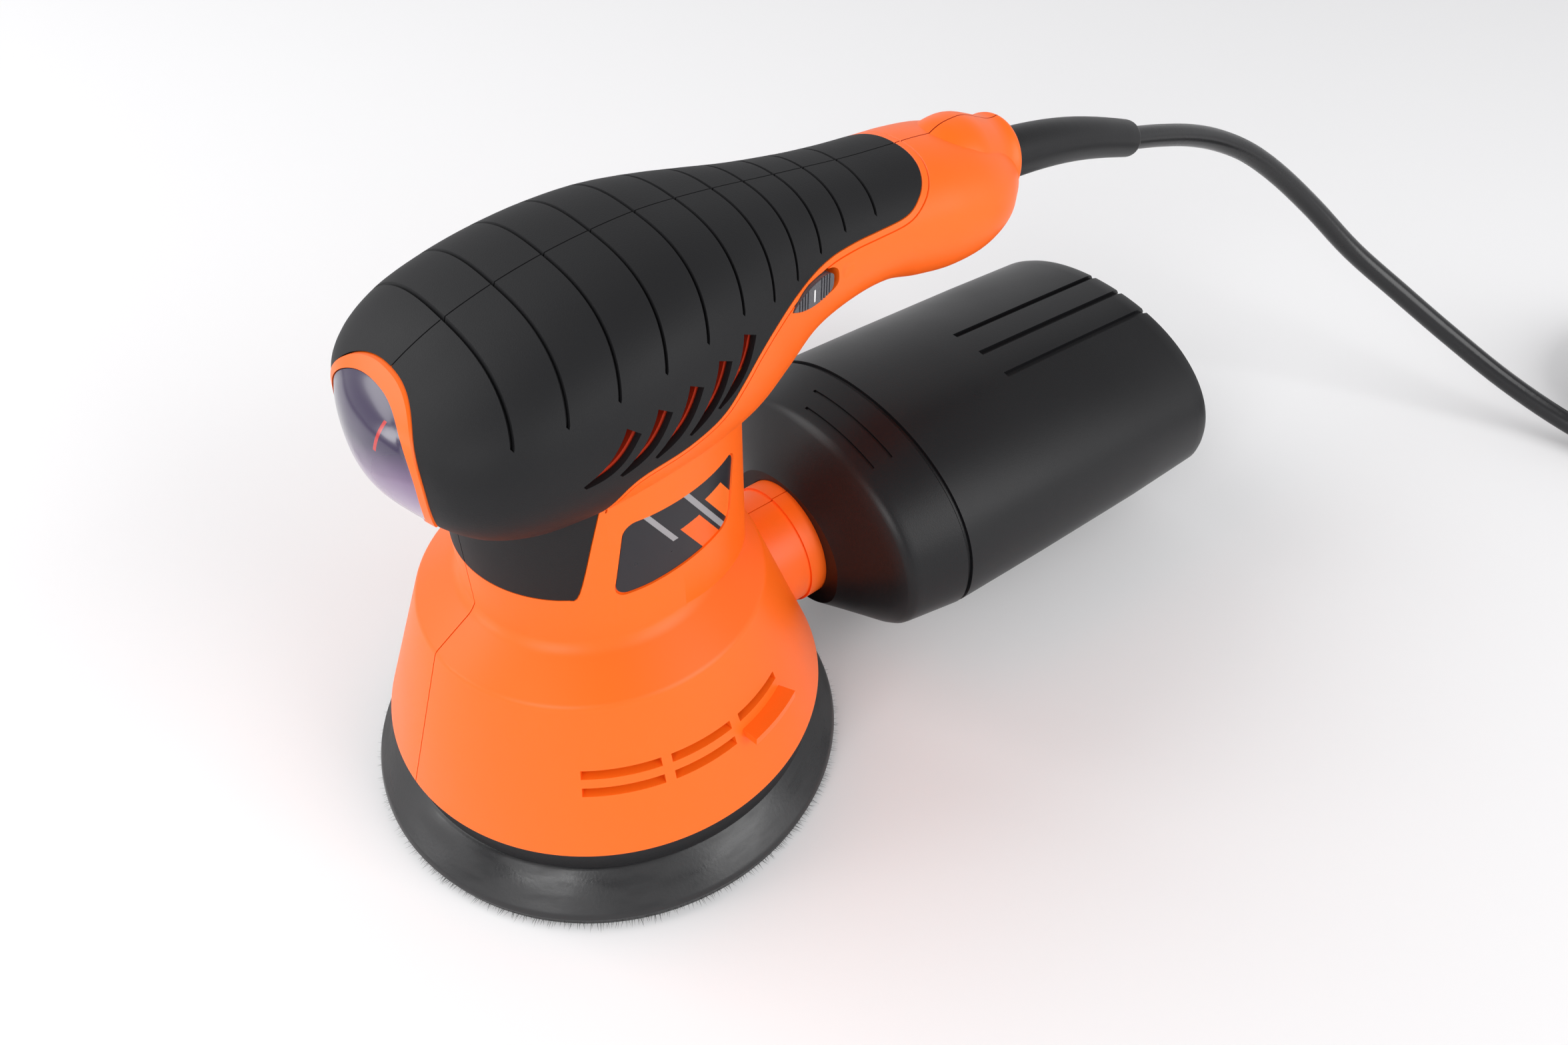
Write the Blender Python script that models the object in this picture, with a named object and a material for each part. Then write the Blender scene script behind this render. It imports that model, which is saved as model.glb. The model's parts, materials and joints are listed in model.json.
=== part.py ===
"""Random orbital sander, 125 mm class, with a dust box and a mains cord.

Frame: metres, +Z up. The motor axis is the Z axis, the floor is z = 0, the nose points to -Y, and the
handle, the dust box and the cord run to +Y. The origin is on the underside of the sanding pad.
Sizes below are in millimetres and degrees.
"""

import math

import bmesh
import bpy
from mathutils import Matrix, Vector

MM = 0.001
GAP = 0.3  # air between two pieces that touch in the real tool
TURN = 2 * math.pi
FAR = 200.0  # reach of a cutter that passes right through

# Sanding pad, which orbits on a crank pin.
ORBIT = 1.2
PAD_RADIUS = 62.5
PAD_TOP = 13.5
PAD_EDGE = 4.5  # height of the widest line of the pad
PAD_BEVEL = 7.0
HOOK_THICKNESS = 1.8
DUST_HOLE_RADIUS = 4.5
DUST_HOLE_CIRCLE = 32.5
DUST_HOLE_COUNT = 8
PAD_SCREW_CIRCLE = 12.5
PAD_SCREW_COUNT = 4
PAD_SCREW_RADIUS = 2.0
PAD_SCREW_HEAD = 3.8
HUB_RADIUS = 19.0
HUB_THICKNESS = 5.0
SPINDLE_RADIUS = 6.0

# Skirt, neck and head of the housing.
RIM_RADIUS = 57.1
RIM_HEIGHT = 22.0
SHOULDER_RADIUS = 43.1
SHOULDER_HEIGHT = 61.7
NECK_RADIUS = 31.0
NECK_BASE = 70.2
NECK_REAR = 41.5  # reach of the neck behind the motor axis
NECK_TOP = 120.0
SKIRT_WALL = 2.5
SKIRT_SIDES = 40
GRIP_THICKNESS = 1.6
HOUSING_WALL = 2.3
SPLIT_GAP = 0.3

# Stations of the head and handle along Y: y, half width, top, middle and bottom height.
STATIONS = (
    (-45.0, 7.0, 131.0, 125.0, 119.0),
    (-43.0, 17.0, 136.0, 125.0, 114.5),
    (-40.0, 24.5, 139.0, 125.0, 110.5),
    (-34.0, 30.5, 143.0, 125.0, 105.5),
    (-26.0, 34.0, 146.8, 125.5, 102.0),
    (-15.0, 35.6, 150.2, 126.0, 100.0),
    (-3.0, 36.0, 152.6, 126.5, 99.5),
    (10.0, 35.2, 154.0, 127.5, 99.5),
    (23.0, 33.0, 154.3, 128.5, 99.5),
    (35.0, 29.6, 153.2, 130.0, 100.5),
    (44.0, 26.2, 152.0, 131.0, 104.5),
    (54.0, 23.0, 150.4, 131.5, 112.0),
    (66.0, 21.0, 148.6, 131.5, 116.0),
    (80.0, 20.0, 146.6, 131.0, 116.5),
    (92.0, 20.0, 145.4, 129.5, 112.8),
    (102.0, 20.3, 144.4, 128.0, 111.2),
    (112.0, 19.6, 142.6, 127.0, 112.2),
    (120.0, 16.8, 140.0, 126.5, 115.5),
    (126.0, 12.5, 137.0, 127.0, 119.5),
)
HEAD_ROUNDNESS = 2.7  # superellipse powers of the sections
HANDLE_ROUNDNESS = 2.3
LOWER_ROUNDNESS = 2.15
SECTION_POINTS = 20

# Side view of the rubber grip's edge: y and z.
GRIP_EDGE = (
    (-19.0, 82.5),
    (-16.6, 85.0),
    (-12.0, 104.0),
    (-9.5, 113.0),
    (-4.0, 119.0),
    (9.0, 120.5),
    (19.0, 123.5),
    (26.0, 129.5),
    (33.0, 134.0),
    (41.0, 137.5),
    (50.0, 139.6),
    (60.0, 140.6),
    (72.0, 141.0),
    (79.0, 141.4),
    (85.0, 142.8),
    (89.0, 145.2),
    (91.5, 149.0),
)

# Nose window.
WINDOW_HEIGHT = 125.0
WINDOW_HALF_HEIGHT = 14.6
WINDOW_HALF_WIDTH = 16.0
BEZEL_WIDTH = 2.4
WINDOW_DEPTH = 37.0  # inner end of lens and bezel, ahead of the motor axis

# Cooling vents on both flanks of the head: y and z of the lower and the upper end.
VENTS = (
    (-16.0, 123.0, -2.0, 132.0),
    (-8.0, 122.0, 6.0, 133.5),
    (1.0, 121.8, 13.0, 135.5),
    (10.0, 123.0, 20.0, 139.0),
    (17.5, 126.0, 26.5, 142.0),
)
VENT_WIDTH = 2.4

# Air slots in the skirt: start and end angle about Z from +X, and the two rows' heights.
SKIRT_SLOTS = ((-37.8, -15.6), (-12.7, 6.6), (9.8, 28.0))
SKIRT_SLOT_ROWS = (44.5, 39.8)
SKIRT_SLOT_HEIGHT = 1.9

# Slide switch in the right flank.
SWITCH_FRONT = 42.8
SWITCH_LENGTH = 14.0
SWITCH_HEIGHT = 134.4
SWITCH_WIDTH = 5.6
SWITCH_TRAVEL = 3.0
SWITCH_SKEW = -0.29  # sideways run of the slider for its run along the handle
SWITCH_TILT = 0.02  # rise of the slider for its run along the handle
SWITCH_FACE = 23.8  # distance of the slider's outer face from the centre plane, at its middle
SWITCH_THICKNESS = 3.2

# Dust spout and dust box.
SPOUT_RADIUS = 16.6
SPOUT_HEIGHT = 35.0
SPOUT_WALL = 2.2
SPOUT_END = 74.0
SEAL_THICKNESS = 0.9
CAP_FRONT = 63.6
CAP_END = 87.2
CAN_END = 190.0
BOX_WALL = 2.0
BOX_POINTS = 24
# Stations of the dust box: y, half width, top, middle and bottom height, power.
CAP_STATIONS = (
    (63.6, 34.0, 60.5, 36.0, 15.8, 2.6),
    (65.5, 38.0, 64.8, 36.5, 15.4, 2.5),
    (71.0, 41.4, 68.3, 37.0, 15.2, 2.4),
    (79.0, 44.4, 71.2, 38.0, 15.0, 2.4),
    (87.2, 47.0, 73.4, 38.5, 14.8, 2.4),
)
CAN_STATIONS = (
    (87.5, 47.0, 73.4, 38.5, 14.8, 2.4),
    (120.0, 47.2, 71.4, 37.0, 13.7, 2.5),
    (160.0, 47.2, 68.4, 35.6, 12.4, 2.6),
    (183.0, 46.6, 66.4, 34.8, 11.8, 2.7),
    (188.0, 45.0, 64.6, 34.6, 13.4, 2.7),
    (190.0, 42.0, 61.8, 34.6, 16.4, 2.7),
)

# Cord guard, clamp and cord.
GUARD_START = Vector((0.0, 126.8, 129.5))
GUARD_END = Vector((0.0, 185.0, 116.1))
GUARD_RADIUS_START = 6.6
GUARD_RADIUS_END = 4.9
GUARD_TAIL = 20.0
COLLAR_RADIUS = 11.4
COLLAR_LENGTH = 15.0
COLLAR_WALL = 2.4
CORD_DIAMETER = 6.5
COIL_CENTRE = Vector((134.0, 378.0, 0.0))
COIL_DIAMETER = 71.5
COIL_BUNDLE = 9.6
COIL_HEIGHT = 11.1  # of the middle of the bundle
TIE_THICKNESS = 0.9
TIE_WIDTH = 7.0
# The cord's route from the guard down to the floor and up to the coil.
CORD_ROUTE = (
    (0.0, 185.4, 116.0),
    (0.0, 200.0, 112.0),
    (0.3, 215.0, 107.2),
    (1.5, 229.0, 101.4),
    (4.5, 242.5, 94.0),
    (9.5, 256.0, 83.6),
    (17.5, 269.5, 70.2),
    (29.0, 282.5, 54.6),
    (44.0, 294.5, 41.0),
    (62.0, 305.0, 28.0),
    (83.0, 313.8, 16.4),
    (105.0, 321.2, 8.2),
    (128.0, 326.8, 4.2),
    (151.4, 333.8, 3.45),
)
PLUG_ANGLE = -28.0  # where the plug lies beside the coil, about Z from +X
PLUG_RELIEF = 22.0
PLUG_LENGTH = 36.0
PLUG_WIDTH = 34.0
PLUG_THICKNESS = 15.0
PIN_LENGTH = 19.0
PIN_SPREAD = 19.0
PIN_RADIUS = 2.0

# Motor and drive, from the floor up.
SHAFT_RADIUS = 4.0
SHAFT_BASE = 33.0
SHAFT_TOP = 127.0
CRANK_BASE = 21.5
CRANK_TOP = 38.0
CRANK_RADIUS = 17.6
PAD_BEARING_RADIUS = 14.0
PAD_BEARING_BASE = 22.0
PAD_BEARING_TOP = 31.0
WEIGHT_RADIUS = 26.0
FAN_RADIUS = 37.0
FAN_BASE = 40.0
FAN_DISC = 2.0
FAN_HEIGHT = 8.0
FAN_BLADES = 8
BRACKET_BASE = 57.0
BRACKET_THICKNESS = 3.0
BRACKET_RADIUS = 39.6
BEARING_RADIUS = 11.0
BEARING_WIDTH = 7.0
STATOR_BASE = 76.0
STATOR_TOP = 98.0
STATOR_RADIUS = 26.5
STATOR_YOKE = 4.5
POLE_HALF_WIDTH = 8.0
ARMATURE_RADIUS = 15.0
AIR_GAP = 0.6
WINDING_RADIUS = 13.4
WINDING_HEIGHT = 6.4
COMMUTATOR_RADIUS = 10.5
COMMUTATOR_TOP = 115.5
BRUSH_HEIGHT = 111.0
BRUSH_SIZE = 6.0
BRUSH_LENGTH = 9.0
HOLDER_WALL = 1.4
HOLDER_END = 26.0
PLATE_BASE = 117.4
PLATE_THICKNESS = 2.6
PLATE_RADIUS = 20.0
TOP_BEARING_RADIUS = 8.0

# Screws that hold the shells together: y, z and how far left of centre the head sits.
HOUSING_SCREWS = (
    (-25.5, 117.0, 18.0),
    (36.0, 112.0, 17.0),
    (74.0, 122.5, 13.5),
    (101.0, 119.5, 13.0),
    (33.5, 86.0, 11.0),
)
SCREW_RADIUS = 1.6
SCREW_HEAD = 3.1
SCREW_REACH = 10.0
BOSS_RADIUS = 4.8


# ---------------------------------------------------------------- helpers
def clear_scene():
    for obj in list(bpy.data.objects):
        bpy.data.objects.remove(obj, do_unlink=True)


def material(name, colour, roughness, metallic=0.0, coat=0.0):
    """A Principled material; a second call with the same name gives the first one back."""
    made = bpy.data.materials.get(name)
    if made:
        return made
    made = bpy.data.materials.new(name)
    made.use_nodes = True
    shader = made.node_tree.nodes["Principled BSDF"]
    shader.inputs["Base Color"].default_value = (*colour, 1.0)
    shader.inputs["Roughness"].default_value = roughness
    shader.inputs["Metallic"].default_value = metallic
    shader.inputs["Coat Weight"].default_value = coat
    made.diffuse_color = (*colour, 1.0)
    return made


def orange():
    return material("orange_plastic", (0.95, 0.16, 0.02), 0.45)


def rubber():
    return material("black_rubber", (0.02, 0.02, 0.022), 0.8)


def black():
    return material("black_plastic", (0.025, 0.025, 0.027), 0.5)


def steel():
    return material("steel", (0.6, 0.6, 0.61), 0.3, 1.0)


def lamination():
    return material("lamination_steel", (0.35, 0.35, 0.37), 0.5, 1.0)


def copper():
    return material("copper", (0.8, 0.36, 0.18), 0.35, 1.0)


def brass():
    return material("brass", (0.75, 0.55, 0.22), 0.3, 1.0)


def place(bm, name, colour, smooth=40.0):
    """Turns a bmesh drawn in millimetres into an object in metres."""
    bmesh.ops.recalc_face_normals(bm, faces=bm.faces)
    bmesh.ops.scale(bm, vec=(MM, MM, MM), verts=bm.verts)
    mesh = bpy.data.meshes.new(name)
    bm.to_mesh(mesh)
    bm.free()
    mesh.shade_smooth()
    mesh.set_sharp_from_angle(angle=math.radians(smooth))
    obj = bpy.data.objects.new(name, mesh)
    bpy.context.scene.collection.objects.link(obj)
    if colour:
        mesh.materials.append(colour)
    return obj


def skin(bm, rings, closed=False):
    """Joins rings of points of the same count with quads, and caps the two ends unless it is closed."""
    made = [[bm.verts.new(p) for p in ring] for ring in rings]
    count = len(made[0])
    pairs = list(zip(made, made[1:]))
    if closed:
        pairs.append((made[-1], made[0]))
    for a, b in pairs:
        for i in range(count):
            j = (i + 1) % count
            bm.faces.new((a[i], a[j], b[j], b[i]))
    if not closed:
        bm.faces.new(made[0])
        bm.faces.new(list(reversed(made[-1])))


def solid(rings, name, colour=None, closed=False, smooth=40.0):
    bm = bmesh.new()
    skin(bm, rings, closed)
    return place(bm, name, colour, smooth)


def frame_of(start, direction):
    """Maps Z of a turned shape to a direction, from a start point."""
    turn = Vector((0.0, 0.0, 1.0)).rotation_difference(Vector(direction).normalized())
    return Matrix.Translation(Vector(start)) @ turn.to_matrix().to_4x4()


def circle(radius, height, sides):
    steps = range(sides)
    return [
        Vector((radius * math.cos(TURN * i / sides), radius * math.sin(TURN * i / sides), height))
        for i in steps
    ]


def turned(profile, name, colour=None, sides=20, start=(0.0, 0.0, 0.0), direction=(0.0, 0.0, 1.0), ring=True):
    """A shape turned about an axis from (radius, height) points; ring says that the profile closes on itself."""
    move = frame_of(start, direction)
    rings = [[move @ p for p in circle(r, z, sides)] for r, z in profile]
    return solid(rings, name, colour, closed=ring)


def rod(radius, start, end, name, colour=None, sides=16):
    length = (Vector(end) - Vector(start)).length
    profile = ((radius, 0.0), (radius, length))
    return turned(profile, name, colour, sides, start, Vector(end) - Vector(start), ring=False)


def block(low, high, name, colour=None):
    bm = bmesh.new()
    bmesh.ops.create_cube(bm, size=1.0)
    for v in bm.verts:
        for axis in range(3):
            v.co[axis] = high[axis] if v.co[axis] > 0 else low[axis]
    return place(bm, name, colour)


def prism(outline, low, high, name, axis="X"):
    """Extrudes a closed outline of (y, z) along X, or of (x, z) along Y, or of (x, y) along Z."""
    build = {
        "X": lambda p, d: Vector((d, p[0], p[1])),
        "Y": lambda p, d: Vector((p[0], d, p[1])),
        "Z": lambda p, d: Vector((p[0], p[1], d)),
    }[axis]
    rings = [[build(p, d) for p in outline] for d in (low, high)]
    return solid(rings, name)


def oval(half_width, half_height, middle, count=24):
    steps = range(count)
    return [
        (half_width * math.cos(TURN * i / count), middle + half_height * math.sin(TURN * i / count))
        for i in steps
    ]


def combine(target, tool, operation="DIFFERENCE", keep_tool=False):
    """Applies a Boolean to the target, and removes the tool unless it is needed again."""
    cut = target.modifiers.new("cut", "BOOLEAN")
    cut.operation = operation
    cut.solver = "EXACT"
    cut.object = tool
    graph = bpy.context.evaluated_depsgraph_get()
    made = bpy.data.meshes.new_from_object(target.evaluated_get(graph))
    old = target.data
    target.modifiers.clear()
    target.data = made
    bpy.data.meshes.remove(old)
    made.name = target.name
    bm = bmesh.new()
    bm.from_mesh(made)
    bmesh.ops.dissolve_limit(bm, angle_limit=math.radians(0.05), verts=bm.verts, edges=bm.edges)
    bmesh.ops.triangulate(bm, faces=bm.faces)
    bm.to_mesh(made)
    bm.free()
    if not keep_tool:
        bpy.data.objects.remove(tool, do_unlink=True)
    return target


def join(target, *tools):
    for tool in tools:
        combine(target, tool, "UNION")
    return target


def cut(target, *tools):
    for tool in tools:
        combine(target, tool)
    return target


def copy_of(obj, name):
    made = obj.copy()
    made.data = obj.data.copy()
    made.name = name
    made.data.name = name
    bpy.context.scene.collection.objects.link(made)
    return made


def finish(obj, colour, smooth=40.0):
    obj.data.materials.clear()
    obj.data.materials.append(colour)
    obj.data.shade_smooth()
    obj.data.set_sharp_from_angle(angle=math.radians(smooth))
    return obj


def polar(radius, degrees, height=0.0):
    angle = math.radians(degrees)
    return Vector((radius * math.cos(angle), radius * math.sin(angle), height))


def smooth_line(points, per_span):
    """Points along a Catmull-Rom curve through the given ones."""
    given = [Vector(p) for p in points]
    given = [2 * given[0] - given[1], *given, 2 * given[-1] - given[-2]]
    line = []
    for a, b, c, d in zip(given, given[1:], given[2:], given[3:]):
        for i in range(per_span):
            t = i / per_span
            line.append(
                0.5
                * (2 * b + (c - a) * t + (2 * a - 5 * b + 4 * c - d) * t**2 + (3 * b - a - 3 * c + d) * t**3)
            )
    return [*line, given[-2]]


# ---------------------------------------------------------------- body shapes
def section(station, inset, count, powers=None):
    """One section of the head or the dust box, as a superellipse with its own upper and lower half."""
    y, width, top, middle, bottom = station[:5]
    ring = []
    for i in range(count):
        angle = TURN * (i + 0.5) / count
        c, s = math.cos(angle), math.sin(angle)
        power = powers[0] if s >= 0 else powers[1]
        reach = (top - middle if s >= 0 else middle - bottom) - inset
        x = (width - inset) * math.copysign(abs(c) ** (2 / power), c)
        z = middle + reach * math.copysign(abs(s) ** (2 / power), s)
        ring.append(Vector((x, y, z)))
    return ring


def head(inset, name):
    """The head and handle as one loft, drawn in by the inset all round."""
    first, last = STATIONS[0][0], STATIONS[-1][0]
    rings = []
    for station in STATIONS:
        y = station[0]
        blend = min(max((y - 20.0) / 50.0, 0.0), 1.0)
        upper = HEAD_ROUNDNESS + (HANDLE_ROUNDNESS - HEAD_ROUNDNESS) * blend
        nose = min(max((-12.0 - y) / (-12.0 - first), 0.0), 1.0)
        tail = min(max((y - 100.0) / (last - 100.0), 0.0), 1.0)
        moved = (y + inset * nose - inset * tail, *station[1:])
        rings.append(section(moved, inset, SECTION_POINTS, (upper, LOWER_ROUNDNESS)))
    return solid(rings, name)


def neck(inset, name, low=NECK_BASE - 8.0, high=NECK_TOP):
    """The oval motor barrel: round ahead of the axis and drawn out behind it."""
    rings = []
    for z in (low, high):
        ring = []
        for i in range(SKIRT_SIDES):
            angle = TURN * (i + 0.5) / SKIRT_SIDES
            x = (NECK_RADIUS - inset) * math.cos(angle)
            reach = NECK_RADIUS if math.sin(angle) < 0 else NECK_REAR
            ring.append(Vector((x, (reach - inset) * math.sin(angle), z)))
        rings.append(ring)
    return solid(rings, name)


def upper_body(inset, name):
    return join(head(inset, name), neck(inset, name + "_neck"))


def skirt_outside():
    profile = (
        (RIM_RADIUS - 0.4, RIM_HEIGHT),
        (RIM_RADIUS, RIM_HEIGHT + 1.2),
        (SHOULDER_RADIUS + 0.6, SHOULDER_HEIGHT - 2.0),
        (SHOULDER_RADIUS - 0.8, SHOULDER_HEIGHT),
        (NECK_RADIUS + 4.5, NECK_BASE - 3.2),
        (NECK_RADIUS + 1.2, NECK_BASE - 0.8),
        (NECK_RADIUS - 3.0, NECK_BASE + 0.4),
    )
    return turned(profile, "skirt", sides=SKIRT_SIDES, ring=False)


def skirt_radius(height):
    """Outer radius of the skirt at a height."""
    share = (height - RIM_HEIGHT) / (SHOULDER_HEIGHT - RIM_HEIGHT)
    return RIM_RADIUS + (SHOULDER_RADIUS - RIM_RADIUS) * share


def skirt_inside():
    profile = (
        (RIM_RADIUS - SKIRT_WALL + 0.4, RIM_HEIGHT - 1.0),
        (SHOULDER_RADIUS - SKIRT_WALL, SHOULDER_HEIGHT - 1.6),
        (SHOULDER_RADIUS - SKIRT_WALL - 2.4, SHOULDER_HEIGHT + 0.4),
        (NECK_RADIUS - SKIRT_WALL, NECK_BASE - 3.8),
        (10.0, NECK_BASE - 2.4),
    )
    return turned(profile, "skirt_hollow", sides=SKIRT_SIDES, ring=False)


def grip_region(grow, name):
    """Everything ahead of and above the rubber's edge, as a prism across the tool."""
    edge = [Vector((y, z)) for y, z in GRIP_EDGE]
    moved = []
    for i, point in enumerate(edge):
        before = edge[max(i - 1, 0)]
        after = edge[min(i + 1, len(edge) - 1)]
        along = (after - before).normalized()
        moved.append(point + Vector((along.y, -along.x)) * grow)
    low = GRIP_EDGE[0][1] - grow
    outline = [(-FAR, low), *[(p.x, p.y) for p in moved], (moved[-1].x, FAR), (-FAR, FAR)]
    outline[1] = (moved[0].x, low)
    return prism(outline, -FAR, FAR, name)


def window(grow, name, start=-FAR, end=-WINDOW_DEPTH):
    half_width = WINDOW_HALF_WIDTH + grow
    half_height = WINDOW_HALF_HEIGHT + grow
    return prism(oval(half_width, half_height, WINDOW_HEIGHT), start, end, name, axis="Y")


def guard_axis():
    return (GUARD_END - GUARD_START).normalized()


def collar():
    """The round rear end that holds the cord guard."""
    start = GUARD_START - guard_axis() * COLLAR_LENGTH
    profile = ((COLLAR_RADIUS + 2.0, 0.0), (COLLAR_RADIUS + 0.6, 9.0), (COLLAR_RADIUS, COLLAR_LENGTH))
    return turned(profile, "collar", sides=28, start=start, direction=guard_axis(), ring=False)


def spout(radius, name, end=SPOUT_END):
    """The dust duct: a full round behind the skirt, and only its part above the rim under the skirt."""
    back = RIM_RADIUS - 0.4
    tube = rod(radius, (0.0, back, SPOUT_HEIGHT), (0.0, end, SPOUT_HEIGHT), name, sides=36)
    lobe = rod(radius - 0.05, (0.0, 20.0, SPOUT_HEIGHT), (0.0, back + 1.0, SPOUT_HEIGHT), name + "_lobe", sides=36)
    floor = RIM_HEIGHT + (SPOUT_RADIUS - radius)
    cut(lobe, block((-FAR, -FAR, -FAR), (FAR, FAR, floor), "floor"))
    return join(tube, lobe)


def vent(low_y, low_z, high_y, high_z, sign, name):
    """A crescent that bows forward between its two ends, cut through one flank."""
    low, high = Vector((low_y, low_z)), Vector((high_y, high_z))
    along = (high - low).normalized()
    side = Vector((along.y, -along.x))
    outer, inner = [], []
    for i in range(4):
        t = i / 3
        spine = low.lerp(high, t) + side * 2.2 * math.sin(math.pi * t)
        half = VENT_WIDTH / 2 * (0.35 + 0.65 * math.sin(math.pi * (0.1 + 0.8 * t)))
        outer.append(spine + side * half)
        inner.append(spine - side * half)
    outline = [(p.x, p.y) for p in [*outer, *reversed(inner)]]
    ends = sorted((sign * 5.0, sign * FAR))
    return prism(outline, *ends, name)


def skirt_slot(start, end, height, name):
    """A curved slot through the skirt wall, drawn as a bent bar."""
    rings = []
    steps = 3
    for i in range(steps + 1):
        degrees = start + (end - start) * i / steps
        inner = skirt_radius(height) - SKIRT_WALL - 4.0
        outer = skirt_radius(height) + 4.0
        rings.append(
            [
                polar(inner, degrees, height - SKIRT_SLOT_HEIGHT / 2),
                polar(outer, degrees, height - SKIRT_SLOT_HEIGHT / 2),
                polar(outer, degrees, height + SKIRT_SLOT_HEIGHT / 2),
                polar(inner, degrees, height + SKIRT_SLOT_HEIGHT / 2),
            ]
        )
    return solid(rings, name)


def switch_direction():
    return Vector((SWITCH_SKEW, 1.0, SWITCH_TILT)).normalized()


def switch_plate(grow, extra, name, outward=0.0, inward=SWITCH_THICKNESS):
    """The lens-shaped slide plate; grow widens it, and extra lengthens it to the rear."""
    along = switch_direction()
    out = Vector((1.0, -SWITCH_SKEW, 0.0)).normalized()
    up = out.cross(along).normalized()
    middle = Vector((SWITCH_FACE, SWITCH_FRONT + SWITCH_LENGTH / 2, SWITCH_HEIGHT))
    half, count = SWITCH_LENGTH / 2 + grow, 20
    outline = []
    for i in range(count):
        angle = TURN * i / count
        c, s = math.cos(angle), math.sin(angle)
        run = half * math.copysign(abs(c) ** 0.9, c)
        if c > 0:
            run += extra
        outline.append((run, (SWITCH_WIDTH / 2 + grow) * math.copysign(abs(s) ** 0.8, s)))
    rings = [
        [middle + along * a + up * b + out * depth for a, b in outline] for depth in (-inward, outward)
    ]
    return solid(rings, name)


# ---------------------------------------------------------------- housing and grip
def housing_screw_cuts(name):
    """Boss, clearance hole and head recess of each housing screw, as three lists."""
    bosses, holes = [], []
    for i, (y, z, head_at) in enumerate(HOUSING_SCREWS):
        bosses.append(rod(BOSS_RADIUS, (-FAR, y, z), (FAR, y, z), f"{name}_boss_{i}", sides=10))
        holes.append(
            rod(SCREW_RADIUS + GAP, (-FAR, y, z), (SCREW_REACH + GAP, y, z), f"{name}_hole_{i}", sides=8)
        )
        holes.append(rod(SCREW_HEAD + GAP, (-FAR, y, z), (-head_at + GAP, y, z), f"{name}_seat_{i}", sides=10))
    return bosses, holes


def build_housing():
    outer = upper_body(0.0, "outer_body")
    under = upper_body(GRIP_THICKNESS, "under_grip")
    seat = upper_body(GRIP_THICKNESS + GAP, "grip_seat")
    hollow = upper_body(GRIP_THICKNESS + GAP + HOUSING_WALL, "hollow")

    grip = combine(copy_of(outer, "grip"), grip_region(0.0, "region"), "INTERSECT")
    cut(grip, under)
    cut(grip, window(BEZEL_WIDTH + GAP, "window"))

    shell = join(outer, skirt_outside(), spout(SPOUT_RADIUS, "spout"), collar())
    cover = cut(grip_region(GAP, "cover"), seat)
    cut(shell, cover)

    join(hollow, skirt_inside(), spout(SPOUT_RADIUS - SPOUT_WALL, "bore", end=SPOUT_END + 5.0))
    # The clamped tail of the cord guard lies in a channel of its own.
    inner = GUARD_START - guard_axis() * (GUARD_TAIL + GAP)
    channel = rod(GUARD_RADIUS_START + GAP, inner, GUARD_START + guard_axis() * 8.0, "channel", sides=20)
    join(hollow, channel)
    bosses, holes = housing_screw_cuts("housing")
    cut(hollow, *bosses)
    cut(shell, hollow)
    cut(shell, *holes)

    halves = (
        ("left", -1, ((-FAR, -FAR, -FAR), (-SPLIT_GAP / 2, FAR, FAR))),
        ("right", 1, ((SPLIT_GAP / 2, -FAR, -FAR), (FAR, FAR, FAR))),
    )
    for side, sign, half in halves:
        part = combine(copy_of(shell, f"housing_{side}"), block(*half, "half"), "INTERSECT")
        cover = combine(copy_of(grip, f"grip_{side}"), block(*half, "half"), "INTERSECT")
        cut(part, window(BEZEL_WIDTH + GAP, "window"))
        if sign < 0:
            y, z, head_at = HOUSING_SCREWS[0]
            cut(cover, rod(SCREW_HEAD + GAP, (-FAR, y, z), (-head_at + GAP, y, z), "grip_hole", sides=10))
        for i, ends in enumerate(VENTS):
            cutter = vent(*ends, sign, f"vent_{i}")
            cut(cover, copy_of(cutter, "vent_copy"))
            cut(part, cutter)
        for row, height in enumerate(SKIRT_SLOT_ROWS):
            for i, (start, end) in enumerate(SKIRT_SLOTS):
                ends = (start, end) if sign > 0 else (180.0 - end, 180.0 - start)
                cut(part, skirt_slot(*ends, height, f"slot_{row}_{i}"))
        if sign > 0:
            cutter = switch_plate(GAP + 0.2, SWITCH_TRAVEL + 0.4, "switch_opening", 12.0, 12.0)
            cut(part, cutter)
        finish(part, orange())
        finish(cover, rubber())
    bpy.data.objects.remove(shell, do_unlink=True)
    bpy.data.objects.remove(grip, do_unlink=True)


def build_nose():
    face = head(0.0, "face")
    bezel = combine(window(BEZEL_WIDTH, "nose_bezel"), copy_of(face, "face_copy"), "INTERSECT")
    cut(bezel, window(GAP, "lens_hole", end=-WINDOW_DEPTH + 5.0))
    finish(bezel, orange())
    lens = combine(window(0.0, "nose_lens"), face, "INTERSECT")
    finish(lens, material("smoked_lens", (0.12, 0.09, 0.14), 0.08, 0.0, 1.0))


def build_switch():
    plate = switch_plate(0.0, 0.0, "switch_slider", outward=0.0)
    middle = Vector((SWITCH_FACE, SWITCH_FRONT + SWITCH_LENGTH / 2, SWITCH_HEIGHT))
    stem = block(
        (middle.x - SWITCH_THICKNESS - 4.0, middle.y - 1.6, middle.z - 1.5),
        (middle.x - SWITCH_THICKNESS / 2, middle.y + 1.6, middle.z + 1.5),
        "stem",
    )
    finish(join(plate, stem), material("dark_grey_plastic", (0.07, 0.07, 0.075), 0.5))
    end = middle.x - SWITCH_THICKNESS - 4.0 - GAP
    block((-9.0, 45.0, 126.5), (end - 1.0, 62.0, 138.0), "switch_body", black())
    block((-8.5, 80.5, 124.0), (8.5, 94.5, 138.0), "capacitor", material("capacitor_can", (0.75, 0.6, 0.2), 0.5))


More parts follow.
